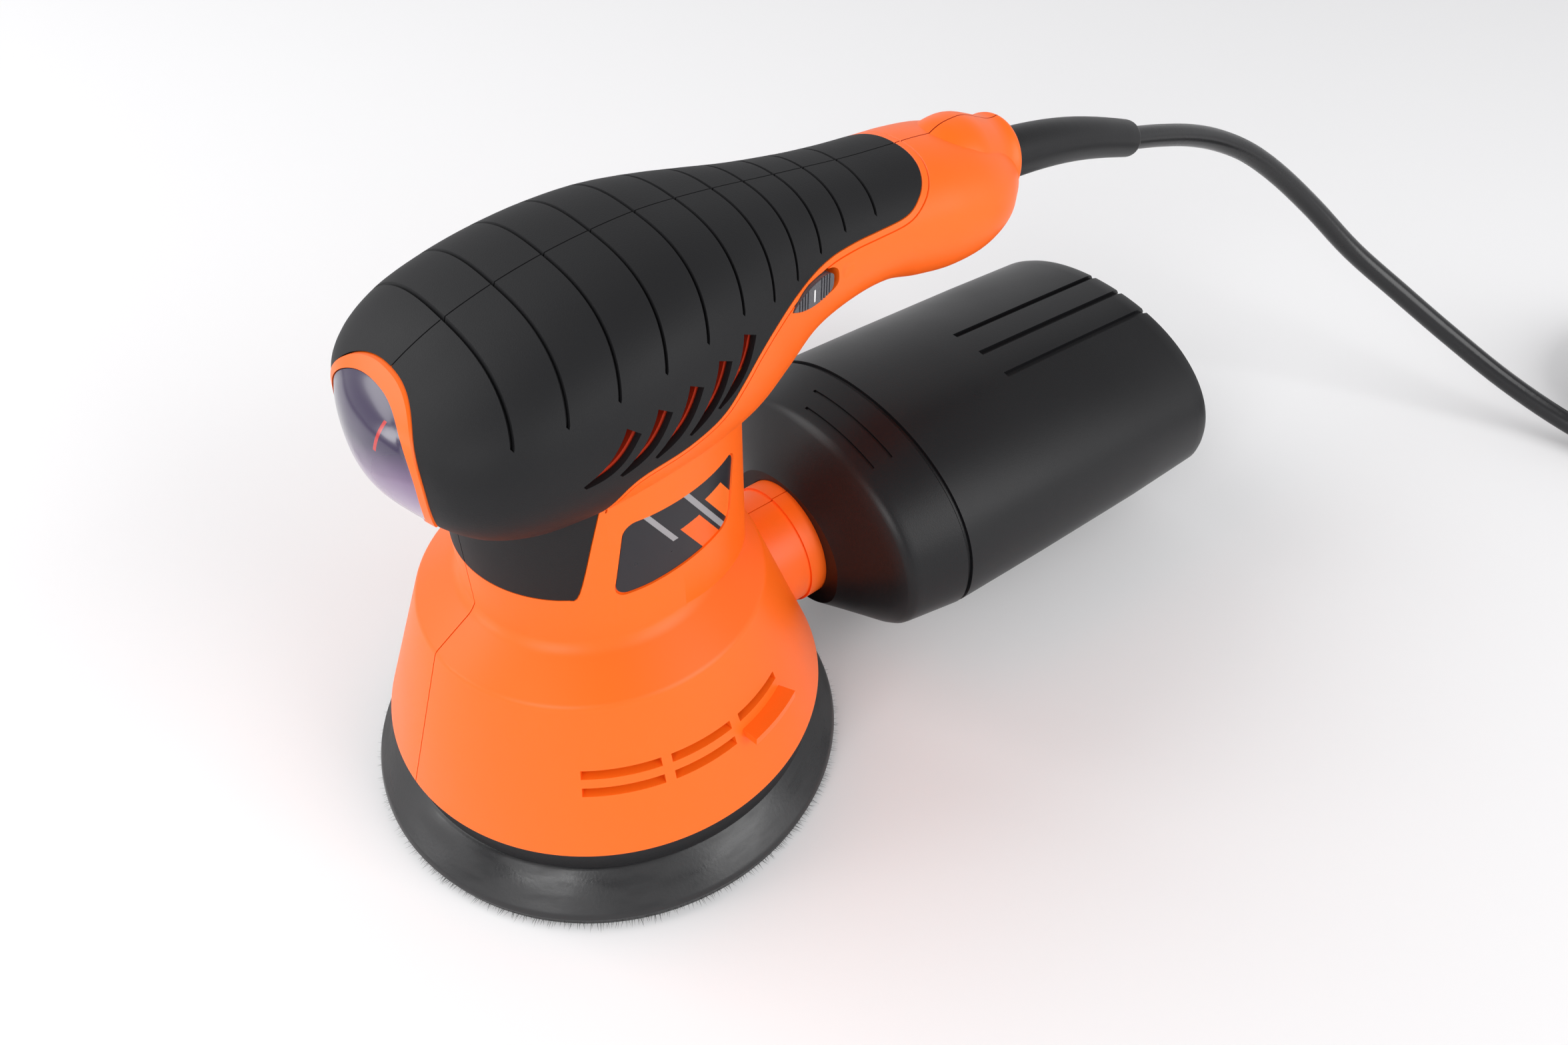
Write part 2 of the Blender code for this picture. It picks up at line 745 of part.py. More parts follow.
def build_screws():
    for i, (y, z, head_at) in enumerate(HOUSING_SCREWS):
        profile = ((SCREW_HEAD, -2.2), (SCREW_HEAD, 0.0), (SCREW_RADIUS, 0.05), (SCREW_RADIUS, head_at + SCREW_REACH))
        turned(profile, f"housing_screw_{i + 1}", steel(), 8, (-head_at, y, z), (1.0, 0.0, 0.0), ring=False)


# ---------------------------------------------------------------- pad and drive
def pad_offset():
    return Vector((0.0, -ORBIT, 0.0))


def build_pad():
    centre = pad_offset()
    low = HOOK_THICKNESS + GAP
    hook = turned(
        ((PAD_RADIUS - 1.4, 0.0), (PAD_RADIUS - 1.0, HOOK_THICKNESS)),
        "hook_layer",
        sides=44,
        start=centre,
        ring=False,
    )
    profile = (
        (PAD_RADIUS - 0.7, low),
        (PAD_RADIUS, PAD_EDGE),
        (PAD_RADIUS - PAD_BEVEL, PAD_TOP - 0.9),
        (PAD_RADIUS - PAD_BEVEL - 2.5, PAD_TOP),
    )
    pad = turned(profile, "backing_pad", sides=44, start=centre, ring=False)
    seat = PAD_TOP - 4.7
    for i in range(DUST_HOLE_COUNT):
        spot = centre + polar(DUST_HOLE_CIRCLE, 360.0 * (i + 0.5) / DUST_HOLE_COUNT)
        for piece in (hook, pad):
            top = spot + Vector((0.0, 0.0, PAD_TOP + 9.0))
            combine(piece, rod(DUST_HOLE_RADIUS, spot - Vector((0.0, 0.0, 5.0)), top, "dust_hole", sides=10))
    head_length = 2.6
    for i in range(PAD_SCREW_COUNT):
        spot = centre + polar(PAD_SCREW_CIRCLE, 360.0 * (i + 0.5) / PAD_SCREW_COUNT)
        access = PAD_SCREW_HEAD + GAP
        deep = Vector((0.0, 0.0, 5.0))
        combine(hook, rod(access, spot - deep, spot + deep, "access", sides=8))
        combine(pad, rod(access, spot - deep, spot + Vector((0.0, 0.0, seat)), "recess", sides=8))
        high = spot + Vector((0.0, 0.0, PAD_TOP + 9.0))
        combine(pad, rod(PAD_SCREW_RADIUS + GAP, spot, high, "shank_hole", sides=8))
        head_top = seat - GAP
        screw = (
            (PAD_SCREW_HEAD, head_top - head_length),
            (PAD_SCREW_HEAD, head_top),
            (PAD_SCREW_RADIUS, head_top + 0.05),
            (PAD_SCREW_RADIUS, PAD_TOP + HUB_THICKNESS - 1.0),
        )
        turned(screw, f"pad_screw_{i + 1}", steel(), 8, spot, ring=False)
    finish(pad, material("pad_rubber", (0.015, 0.015, 0.017), 0.4))
    finish(hook, material("hook_fabric", (0.05, 0.05, 0.05), 0.95))

    base = PAD_TOP + GAP
    hub = turned(
        (
            (HUB_RADIUS, base),
            (HUB_RADIUS, base + HUB_THICKNESS),
            (SPINDLE_RADIUS + 2.0, base + HUB_THICKNESS + 0.1),
            (SPINDLE_RADIUS + 2.0, PAD_BEARING_BASE - GAP),
            (SPINDLE_RADIUS, PAD_BEARING_BASE - GAP + 0.05),
            (SPINDLE_RADIUS, PAD_BEARING_TOP),
        ),
        "pad_hub",
        sides=28,
        start=centre,
        ring=False,
    )
    for i in range(PAD_SCREW_COUNT):
        spot = centre + polar(PAD_SCREW_CIRCLE, 360.0 * (i + 0.5) / PAD_SCREW_COUNT, base - 2.0)
        depth = Vector((0.0, 0.0, HUB_THICKNESS + 1.6))
        combine(hub, rod(PAD_SCREW_RADIUS + GAP, spot, spot + depth, "thread", sides=8))
    finish(hub, steel())


def build_brake_ring():
    inner = RIM_RADIUS - 7.1
    low = PAD_TOP + 0.6
    top = RIM_HEIGHT + 5.0
    reach = skirt_radius(top) - SKIRT_WALL - 0.8
    profile = (
        (inner, low),
        (RIM_RADIUS - 1.7, low),
        (RIM_RADIUS - 1.4, RIM_HEIGHT - GAP),
        (reach, RIM_HEIGHT - GAP + 0.1),
        (reach, top),
        (inner, top),
    )
    ring = turned(profile, "brake_ring", rubber(), 40)
    wide = SPOUT_RADIUS + 1.0
    cut(ring, block((-wide, 0.0, RIM_HEIGHT - GAP), (wide, FAR, FAR), "duct_clearance"))
    finish(ring, rubber())


def build_crank():
    """The eccentric: a cup for the pad bearing, a boss on the shaft and a balance weight."""
    centre = pad_offset()
    cup = turned(
        ((CRANK_RADIUS, CRANK_BASE), (CRANK_RADIUS, PAD_BEARING_TOP + 3.0), (11.0, CRANK_TOP)),
        "counterweight",
        sides=28,
        ring=False,
    )
    arc = [polar(WEIGHT_RADIUS, a) for a in range(35, 146, 10)]
    outline = [(p.x, p.y) for p in arc] + [(-11.0, 8.0), (11.0, 8.0)]
    join(cup, prism(outline, CRANK_BASE + 1.0, PAD_BEARING_TOP + 0.5, "weight", axis="Z"))
    low = centre + Vector((0.0, 0.0, CRANK_BASE - 2.0))
    high = centre + Vector((0.0, 0.0, PAD_BEARING_TOP + GAP))
    cut(cup, rod(PAD_BEARING_RADIUS + GAP, low, high, "bearing_seat", sides=28))
    bore = SHAFT_RADIUS + GAP
    cut(cup, rod(bore, (0.0, 0.0, SHAFT_BASE - GAP), (0.0, 0.0, CRANK_TOP + 5.0), "bore", sides=16))
    finish(cup, material("cast_zinc", (0.5, 0.5, 0.5), 0.45, 1.0))
    turned(
        (
            (SPINDLE_RADIUS + GAP, PAD_BEARING_BASE),
            (PAD_BEARING_RADIUS, PAD_BEARING_BASE),
            (PAD_BEARING_RADIUS, PAD_BEARING_TOP),
            (SPINDLE_RADIUS + GAP, PAD_BEARING_TOP),
        ),
        "pad_bearing",
        steel(),
        28,
        centre,
    )


def build_fan():
    bore = SHAFT_RADIUS + GAP
    hub = 9.0
    top = FAN_BASE + FAN_DISC + FAN_HEIGHT
    low = CRANK_TOP + GAP
    fan = turned(
        (
            (bore, low),
            (hub, low),
            (hub, FAN_BASE),
            (FAN_RADIUS, FAN_BASE),
            (FAN_RADIUS, FAN_BASE + FAN_DISC),
            (hub, FAN_BASE + FAN_DISC),
            (hub, top),
            (bore, top),
        ),
        "fan",
        sides=28,
    )
    for i in range(FAN_BLADES):
        turn = Matrix.Rotation(TURN * (i + 0.5) / FAN_BLADES, 4, "Z")
        blade = block(
            (hub - 1.0, -0.7, FAN_BASE + 1.0),
            (FAN_RADIUS - 1.5, 0.7, top - 0.6),
            "blade",
        )
        blade.data.transform(turn)
        combine(fan, blade, "UNION")
    finish(fan, black())


def build_motor():
    bearing_base = BRACKET_BASE + BRACKET_THICKNESS - 1.5
    cup = BEARING_RADIUS + GAP
    bracket = turned(
        (
            (SHAFT_RADIUS + 2.5, BRACKET_BASE),
            (BRACKET_RADIUS, BRACKET_BASE),
            (BRACKET_RADIUS, BRACKET_BASE + BRACKET_THICKNESS),
            (cup + 2.5, BRACKET_BASE + BRACKET_THICKNESS),
            (cup + 2.5, bearing_base + BEARING_WIDTH),
            (cup, bearing_base + BEARING_WIDTH),
            (cup, bearing_base - GAP),
            (SHAFT_RADIUS + 2.5, bearing_base - GAP),
        ),
        "motor_bracket",
        sides=28,
    )
    for i in range(6):
        spot = polar(27.0, 60.0 * i + 13.0, BRACKET_BASE - 3.0)
        combine(bracket, rod(6.0, spot, spot + Vector((0.0, 0.0, 12.0)), "air_hole", sides=8))
    finish(bracket, material("cast_aluminium", (0.7, 0.7, 0.71), 0.4, 1.0))
    inner = SHAFT_RADIUS + GAP
    ring = ((inner, 0.0), (BEARING_RADIUS, 0.0), (BEARING_RADIUS, BEARING_WIDTH), (inner, BEARING_WIDTH))
    turned(ring, "lower_bearing", steel(), 24, (0.0, 0.0, bearing_base))

    rod(SHAFT_RADIUS, (0.0, 0.0, SHAFT_BASE), (0.0, 0.0, SHAFT_TOP), "motor_shaft", steel(), 16)
    core = ((inner, STATOR_BASE), (ARMATURE_RADIUS, STATOR_BASE), (ARMATURE_RADIUS, STATOR_TOP), (inner, STATOR_TOP))
    turned(core, "armature_core", lamination(), 24)
    for name, start in (
        ("winding_lower", STATOR_BASE - GAP - WINDING_HEIGHT),
        ("winding_upper", STATOR_TOP + GAP),
    ):
        profile = (
            (inner, start),
            (WINDING_RADIUS - 1.5, start),
            (WINDING_RADIUS, start + 1.5),
            (WINDING_RADIUS, start + WINDING_HEIGHT - 1.5),
            (WINDING_RADIUS - 1.5, start + WINDING_HEIGHT),
            (inner, start + WINDING_HEIGHT),
        )
        turned(profile, name, copper(), 24)
    base = STATOR_TOP + 2 * GAP + WINDING_HEIGHT
    profile = ((inner, base), (COMMUTATOR_RADIUS, base), (COMMUTATOR_RADIUS, COMMUTATOR_TOP), (inner, COMMUTATOR_TOP))
    turned(profile, "commutator", copper(), 24)

    yoke = STATOR_RADIUS - STATOR_YOKE
    ring = ((yoke, STATOR_BASE), (STATOR_RADIUS, STATOR_BASE), (STATOR_RADIUS, STATOR_TOP), (yoke, STATOR_TOP))
    stator = turned(ring, "stator_core", sides=36)
    for side in (-1, 1):
        ends = sorted((side * 8.0, side * (yoke + 1.5)))
        pole = block(
            (ends[0], -POLE_HALF_WIDTH, STATOR_BASE + 0.2),
            (ends[1], POLE_HALF_WIDTH, STATOR_TOP - 0.2),
            "pole",
        )
        join(stator, pole)
    face = ARMATURE_RADIUS + AIR_GAP
    cut(stator, rod(face, (0.0, 0.0, STATOR_BASE - 5), (0.0, 0.0, STATOR_TOP + 5), "pole_face", sides=36))
    finish(stator, lamination())
    for side, name in ((-1, "field_coil_left"), (1, "field_coil_right")):
        low, high = STATOR_BASE - 4.5, STATOR_TOP + 4.5
        inside, outside = face + 0.8, yoke - GAP
        coil = turned(((inside, low), (outside, low), (outside, high), (inside, high)), name, sides=36)
        wedge = [(0.0, 0.0), (side * 40.0, -side * 44.0), (side * 60.0, 0.0), (side * 40.0, side * 44.0)]
        combine(coil, prism(wedge, low - 5, high + 5, "wedge", axis="Z"), "INTERSECT")
        ends = sorted((side * 5.0, side * 40.0))
        hole = POLE_HALF_WIDTH + GAP
        cut(coil, block((ends[0], -hole, STATOR_BASE - GAP), (ends[1], hole, STATOR_TOP + GAP), "pole_hole"))
        finish(coil, copper())


def build_brushes():
    inner = COMMUTATOR_RADIUS + GAP
    half = BRUSH_SIZE / 2
    wall = half + GAP + HOLDER_WALL
    for side, label in ((-1, "left"), (1, "right")):
        spans = {
            "brush": (inner, inner + BRUSH_LENGTH, half),
            "brush_holder": (inner + 2.0, HOLDER_END, wall),
            "bore": (0.0, HOLDER_END - HOLDER_WALL, half + GAP),
        }
        made = {}
        for name, (near, far, size) in spans.items():
            ends = sorted((side * near, side * far))
            made[name] = block(
                (ends[0], -size, BRUSH_HEIGHT - size),
                (ends[1], size, BRUSH_HEIGHT + size),
                f"{name}_{label}",
            )
        cut(made["brush_holder"], made["bore"])
        finish(made["brush_holder"], brass())
        finish(made["brush"], material("carbon", (0.05, 0.05, 0.055), 0.6))
        start = inner + BRUSH_LENGTH + 1.0
        length = HOLDER_END - HOLDER_WALL - 1.0 - start
        turns, steps = 3, 6
        points = []
        for i in range(turns * steps + 1):
            angle = TURN * i / steps
            x = start + length * i / (turns * steps)
            points.append((side * x, 2.0 * math.cos(angle), BRUSH_HEIGHT + 2.0 * math.sin(angle)))
        wire(points, 0.35, f"brush_spring_{label}", steel(), 0)

    cup = TOP_BEARING_RADIUS + GAP
    top = PLATE_BASE + 9.0
    plate = turned(
        (
            (SHAFT_RADIUS + 2.0, PLATE_BASE),
            (PLATE_RADIUS, PLATE_BASE),
            (PLATE_RADIUS, PLATE_BASE + PLATE_THICKNESS),
            (cup + 2.0, PLATE_BASE + PLATE_THICKNESS),
            (cup + 2.0, top),
            (cup, top),
            (cup, PLATE_BASE + PLATE_THICKNESS - 1.0),
            (SHAFT_RADIUS + 2.0, PLATE_BASE + PLATE_THICKNESS - 1.0),
        ),
        "brush_plate",
        black(),
        24,
    )
    finish(plate, black())
    inner = SHAFT_RADIUS + GAP
    low = PLATE_BASE + PLATE_THICKNESS - 1.0 + GAP
    ring = ((inner, low), (TOP_BEARING_RADIUS, low), (TOP_BEARING_RADIUS, low + 6.0), (inner, low + 6.0))
    turned(ring, "upper_bearing", steel(), 24)


# ---------------------------------------------------------------- dust box
def loft(stations, inset, name, front=0.0, rear=0.0):
    rings = []
    last = len(stations) - 1
    for i, station in enumerate(stations):
        y = station[0]
        if i == 0:
            y += front
        if i == last:
            y += rear
        moved = (y, *station[1:5])
        rings.append(section(moved, inset, BOX_POINTS, (2.1, station[5])))
    return solid(rings, name)


def shifted(stations, inset, front, rear):
    """Stations of a hollow: the closed end is moved in, and the open end runs out past the rim."""
    first, last = stations[0][0], stations[-1][0]
    moved = []
    for y, *rest in stations:
        share = (y - first) / (last - first)
        moved.append((y + front * (1 - share) + rear * share, *rest))
    return moved


def build_dust_box():
    cap = loft(CAP_STATIONS, 0.0, "dust_box_cap")
    cut(cap, loft(shifted(CAP_STATIONS, BOX_WALL, BOX_WALL + 0.4, 1.5), BOX_WALL, "cap_hollow"))
    hole = SPOUT_RADIUS + GAP + SEAL_THICKNESS + GAP
    middle = (0.0, CAP_FRONT - 10.0, SPOUT_HEIGHT)
    inside = (0.0, CAP_FRONT + 20.0, SPOUT_HEIGHT)
    cut(cap, rod(hole, middle, inside, "spout_hole", sides=36))
    finish(cap, black())

    near, far = SPOUT_RADIUS + GAP, SPOUT_RADIUS + GAP + SEAL_THICKNESS
    seal = ((near, 0.0), (far, 0.0), (far, BOX_WALL), (near, BOX_WALL))
    turned(seal, "dust_box_seal", rubber(), 36, (0.0, CAP_FRONT + 0.3, SPOUT_HEIGHT), (0.0, 1.0, 0.0))

    can = loft(CAN_STATIONS, 0.0, "dust_box_body")
    cut(can, loft(shifted(CAN_STATIONS, BOX_WALL, -1.5, -BOX_WALL - 0.4), BOX_WALL, "can_hollow"))
    # A lip on the body slides into the cap.
    finish(can, black())
    frame = block((-27.0, 92.0, 52.0), (27.0, 178.0, 58.0), "dust_filter")
    for i in range(5):
        low = 98.0 + 15.6 * i
        cut(frame, block((-24.0, low, 50.0), (24.0, low + 12.0, 56.5), f"filter_cell_{i}"))
    finish(frame, material("filter_paper", (0.85, 0.82, 0.74), 0.9))


# ---------------------------------------------------------------- cord
def wire(points, radius, name, colour, resolution):
    """A round tube along points, with flat ends."""
    curve = bpy.data.curves.new(name, "CURVE")
    curve.dimensions = "3D"
    spline = curve.splines.new("POLY")
    spline.points.add(len(points) - 1)
    for target, point in zip(spline.points, points):
        target.co = (point[0] * MM, point[1] * MM, point[2] * MM, 1.0)
    curve.bevel_depth = radius * MM
    curve.bevel_resolution = resolution
    curve.use_fill_caps = True
    curve.materials.append(colour)
    obj = bpy.data.objects.new(name, curve)
    bpy.context.scene.collection.objects.link(obj)
    return obj


def build_guard():
    axis = guard_axis()
    length = (GUARD_END - GUARD_START).length
    tail = GUARD_RADIUS_START - 1.4
    profile = [(tail, -GUARD_TAIL), (tail, -12.0), (GUARD_RADIUS_START - 0.1, -11.9), (GUARD_RADIUS_START, 4.0)]
    rings, groove = 4, 0.7
    for i in range(rings):
        at = 12.0 + 9.0 * i
        radius = GUARD_RADIUS_START + (GUARD_RADIUS_END - GUARD_RADIUS_START) * at / length
        profile += [(radius, at), (radius - groove, at + 0.6), (radius - groove, at + 2.2), (radius, at + 2.8)]
    profile += [(GUARD_RADIUS_END + 0.1, length - 1.6), (GUARD_RADIUS_END - 0.9, length)]
    turned(profile, "cord_guard", rubber(), 14, GUARD_START, axis, ring=False)
    # A bar under the guard's tail, held up by two screws.
    spot = GUARD_START - axis * 17.0
    high = spot.z - tail - GAP - 0.6
    clamp = block((-10.0, spot.y - 2.6, high - 2.6), (10.0, spot.y + 2.6, high), "cord_clamp")
    for i, side in enumerate((-1, 1)):
        x = side * 7.6
        hole = rod(SCREW_RADIUS + GAP, (x, spot.y, high - 5.0), (x, spot.y, high + 5.0), "clamp_hole", sides=10)
        cut(clamp, hole)
        profile = ((2.6, -1.6), (2.6, 0.0), (SCREW_RADIUS, 0.05), (SCREW_RADIUS, 8.0))
        start = (x, spot.y, high - 2.6 - GAP)
        turned(profile, f"clamp_screw_{i + 1}", steel(), 8, start, ring=False)
    finish(clamp, black())


def build_cord():
    wire(smooth_line(CORD_ROUTE, 2), CORD_DIAMETER / 2, "cord", material("cord_sheath", (0.02, 0.02, 0.02), 0.35), 2)
    section_points = []
    sides = 12
    for i in range(sides):
        angle = TURN * i / sides
        section_points.append(
            (COIL_DIAMETER / 2 + COIL_BUNDLE * math.cos(angle), COIL_HEIGHT + COIL_BUNDLE * math.sin(angle))
        )
    turned(section_points, "cord_coil", material("cord_sheath", (0.02, 0.02, 0.02), 0.35), 30, COIL_CENTRE)
    tie_at = COIL_CENTRE + polar(COIL_DIAMETER / 2, 100.0, COIL_HEIGHT)
    along = polar(1.0, 190.0)
    inner = COIL_BUNDLE + GAP + 0.3
    half = TIE_WIDTH / 2
    band = ((inner, -half), (inner + TIE_THICKNESS, -half), (inner + TIE_THICKNESS, half), (inner, half))
    turned(band, "cord_tie", black(), 24, tie_at, along)


def build_plug():
    """A flat two-pin plug that lies beside the coil, in line with the last turn."""
    along = polar(1.0, PLUG_ANGLE + 90.0)
    side = along.cross(Vector((0.0, 0.0, 1.0)))
    up = Vector((0.0, 0.0, 1.0))
    start = COIL_CENTRE + polar(COIL_DIAMETER / 2 + COIL_BUNDLE + 9.5, PLUG_ANGLE, PLUG_THICKNESS / 2 + 0.2)
    sections = (
        (0.0, 4.4, 4.4),
        (PLUG_RELIEF * 0.55, 5.0, 5.0),
        (PLUG_RELIEF, 6.2, 5.8),
        (PLUG_RELIEF + 6.0, PLUG_WIDTH / 2 - 5.0, PLUG_THICKNESS / 2 - 0.4),
        (PLUG_RELIEF + 16.0, PLUG_WIDTH / 2, PLUG_THICKNESS / 2),
        (PLUG_RELIEF + PLUG_LENGTH - 2.0, PLUG_WIDTH / 2 - 1.0, PLUG_THICKNESS / 2),
        (PLUG_RELIEF + PLUG_LENGTH, PLUG_WIDTH / 2 - 2.5, PLUG_THICKNESS / 2 - 1.5),
    )
    rings = []
    for run, half_width, half_height in sections:
        ring = []
        for i in range(20):
            angle = TURN * i / 20
            c, s = math.cos(angle), math.sin(angle)
            a = half_width * math.copysign(abs(c) ** 0.75, c)
            b = half_height * math.copysign(abs(s) ** 0.75, s)
            ring.append(start + along * run + side * a + up * b)
        rings.append(ring)
    solid(rings, "plug_body", black())
    face = start + along * (PLUG_RELIEF + PLUG_LENGTH + GAP)
    for i, sign in enumerate((-1, 1)):
        root = face + side * sign * PIN_SPREAD / 2
        rod(PIN_RADIUS, root, root + along * PIN_LENGTH, f"plug_pin_{i + 1}", brass(), 12)


def main():
    clear_scene()
    build_housing()
    build_nose()
    build_switch()
    build_screws()
    build_pad()
    build_brake_ring()
    build_crank()
    build_fan()
    build_motor()
    build_brushes()
    build_dust_box()
    build_guard()
    build_cord()
    build_plug()


main()
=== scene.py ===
"""Random orbital sander with a rubber grip, a dust box and a mains cord: surfaces, finishes and studio."""

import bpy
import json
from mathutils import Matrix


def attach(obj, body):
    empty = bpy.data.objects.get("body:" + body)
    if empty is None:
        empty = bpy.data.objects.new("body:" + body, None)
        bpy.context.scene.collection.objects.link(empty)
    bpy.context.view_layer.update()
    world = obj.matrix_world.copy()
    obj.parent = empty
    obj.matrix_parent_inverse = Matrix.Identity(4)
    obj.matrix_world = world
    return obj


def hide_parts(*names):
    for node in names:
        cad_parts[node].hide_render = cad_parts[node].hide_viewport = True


bl_info = {
    "name": "Random Orbital Sander",
    "version": (1, 0, 0),
    "blender": (4, 5, 0),
    "location": "View3D > Sidebar > Sander",
    "description": "Builds the sander's shells, grip, pad, dust box and cord around its packed frame",
    "category": "Add Mesh",
}

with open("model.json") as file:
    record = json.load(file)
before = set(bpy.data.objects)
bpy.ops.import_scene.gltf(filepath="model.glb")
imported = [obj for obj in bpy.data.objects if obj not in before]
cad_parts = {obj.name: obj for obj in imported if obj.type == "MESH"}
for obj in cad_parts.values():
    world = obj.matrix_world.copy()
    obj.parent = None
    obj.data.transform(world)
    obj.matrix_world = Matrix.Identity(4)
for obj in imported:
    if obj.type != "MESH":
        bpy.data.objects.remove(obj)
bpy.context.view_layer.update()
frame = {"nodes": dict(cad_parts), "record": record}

import json
import math

import bmesh
import bpy
import numpy as np
from bpy.props import FloatProperty, FloatVectorProperty, IntProperty, PointerProperty
from mathutils import Matrix, Vector

MM = 0.001
TURN = 2 * math.pi
GAP = 0.3
HALF_SPLIT = 0.16  # half the gap between the two shells
WALL = 2.5
SEAT = 0.25  # air round a piece that sits in an opening
FAR = 200.0

# Head and handle along Y: y, half width, top, middle and bottom height, in millimetres.
STATIONS = (
    (-45.6, 1.0, 125.9, 125.0, 124.1),
    (-45.0, 7.0, 131.0, 125.0, 119.0),
    (-43.0, 17.0, 136.0, 125.0, 114.5),
    (-40.0, 24.5, 139.0, 125.0, 110.5),
    (-34.0, 30.5, 143.0, 125.0, 105.5),
    (-26.0, 34.0, 146.8, 125.5, 102.0),
    (-15.0, 35.6, 150.2, 126.0, 100.0),
    (-3.0, 36.0, 152.6, 126.5, 99.5),
    (10.0, 35.2, 154.0, 127.5, 99.5),
    (23.0, 33.0, 154.3, 128.5, 99.5),
    (35.0, 29.6, 153.2, 130.0, 100.5),
    (44.0, 26.2, 152.0, 131.0, 104.5),
    (54.0, 23.0, 150.4, 131.5, 112.0),
    (66.0, 21.0, 148.6, 131.5, 116.0),
    (80.0, 20.0, 146.6, 131.0, 116.5),
    (92.0, 20.0, 145.4, 129.5, 112.8),
    (102.0, 20.3, 144.4, 128.0, 111.2),
    (112.0, 19.6, 142.6, 127.0, 112.2),
    (120.0, 16.8, 140.0, 126.5, 115.5),
    (126.0, 12.5, 137.0, 127.0, 119.5),
)
GRIP_EDGE = (
    (-19.2, 84.4), (-17.0, 86.2), (-12.6, 104.0), (-9.5, 114.0), (-4.0, 119.6), (8.5, 121.0),
    (17.5, 123.4), (24.0, 128.2), (30.0, 132.6), (37.0, 135.9), (46.8, 138.3), (56.5, 139.4),
    (65.0, 139.3), (73.0, 138.8), (82.0, 138.7), (87.5, 140.6), (92.0, 143.4), (96.5, 147.4),
)
VENTS = (
    (-16.6, 124.4, -4.2, 133.0), (-8.6, 123.4, 3.4, 134.0), (-0.2, 123.4, 11.6, 135.4),
    (8.6, 124.2, 19.8, 136.9), (16.6, 126.4, 27.6, 138.6),
)
# Lower end of each grip groove on the flank: y and height; the grooves lean to the rear going up.
GROOVES = (
    (-27.6, 136.6), (-16.9, 137.9), (-5.7, 139.0), (5.4, 140.1), (16.5, 141.3), (27.2, 142.0),
    (36.5, 140.1), (45.3, 139.9), (54.6, 141.0), (63.6, 141.7), (73.8, 141.2),
)
GROOVE_LEAN, GROOVE_WIDTH, GROOVE_DEPTH = 0.385, 0.8, 0.9
SKIRT_SLOTS = ((-37.8, -15.6), (-12.7, 6.6), (9.8, 28.0))
SKIRT_ROWS = (44.4, 39.8)
SWITCH_MIDDLE = Vector((24.4, 49.5, 134.6))
CORD_ROUTE = (
    (0.0, 185.4, 116.0), (0.0, 200.0, 112.0), (0.3, 215.0, 107.2), (1.5, 229.0, 101.4),
    (4.5, 242.5, 94.0), (9.5, 256.0, 83.6), (17.5, 269.5, 70.2), (29.0, 282.5, 54.6),
    (44.0, 294.5, 41.0), (62.0, 305.0, 28.0), (83.0, 313.8, 16.4), (105.0, 321.2, 8.2),
    (128.0, 326.8, 4.2), (151.4, 333.8, 3.45),
)
COIL_CENTRE = Vector((134.0, 378.0, 0.0))
COIL_DIAMETER = 71.5
CORD_DIAMETER = 6.5
CORD_LENGTH = 2000.0
GUARD_START = Vector((0.0, 126.8, 129.5))
GUARD_END = Vector((0.0, 185.0, 116.1))

RIM_RADIUS, RIM_HEIGHT = 57.1, 22.0
SHOULDER_RADIUS, SHOULDER_HEIGHT = 43.1, 61.7
NECK_RADIUS, NECK_BASE, NECK_REAR, NECK_TOP = 31.0, 70.2, 41.5, 120.0
WINDOW_HEIGHT, WINDOW_HALF_HEIGHT, WINDOW_HALF_WIDTH, BEZEL_WIDTH = 125.0, 14.6, 17.6, 2.1
SPOUT_RADIUS, SPOUT_HEIGHT, SPOUT_END = 17.6, 34.4, 72.0
PAD_RADIUS, PAD_TOP, ORBIT = 62.5, 13.5, 1.2


# Studio camera: place in metres, turn about Z and rise in degrees, lens in millimetres.
CAMERA_SPOT = (0.20219, -0.1009, 0.29518)
CAMERA_TURN, CAMERA_RISE, CAMERA_LENS = 51.33, 44.53, 29.77


# ---------------------------------------------------------------- materials
class Link:
    """A shader socket that takes part in Python expressions."""

    def __init__(self, tree, socket):
        self.tree, self.socket = tree, socket

    def math(self, operation, *others, swap=False):
        node = self.tree.nodes.new("ShaderNodeMath")
        node.operation = operation
        values = [self, *others]
        if swap:
            values.reverse()
        for place, value in zip(node.inputs, values):
            if isinstance(value, Link):
                self.tree.links.new(value.socket, place)
            else:
                place.default_value = value
        return Link(self.tree, node.outputs[0])

    def __add__(self, other):
        return self.math("ADD", other)

    __radd__ = __add__

    def __mul__(self, other):
        return self.math("MULTIPLY", other)

    __rmul__ = __mul__

    def __sub__(self, other):
        return self.math("SUBTRACT", other)

    def __rsub__(self, other):
        return self.math("SUBTRACT", other, swap=True)

    def __truediv__(self, other):
        return self.math("DIVIDE", other)

    def __gt__(self, other):
        return self.math("GREATER_THAN", other)

    def __lt__(self, other):
        return self.math("LESS_THAN", other)

    def absolute(self):
        return self.math("ABSOLUTE")

    def wave(self):
        return self.math("SINE")

    def ramp(self, low, high):
        """0 below low, 1 above high."""
        node = self.tree.nodes.new("ShaderNodeMapRange")
        node.inputs["From Min"].default_value = low
        node.inputs["From Max"].default_value = high
        self.tree.links.new(self.socket, node.inputs["Value"])
        return Link(self.tree, node.outputs["Result"])


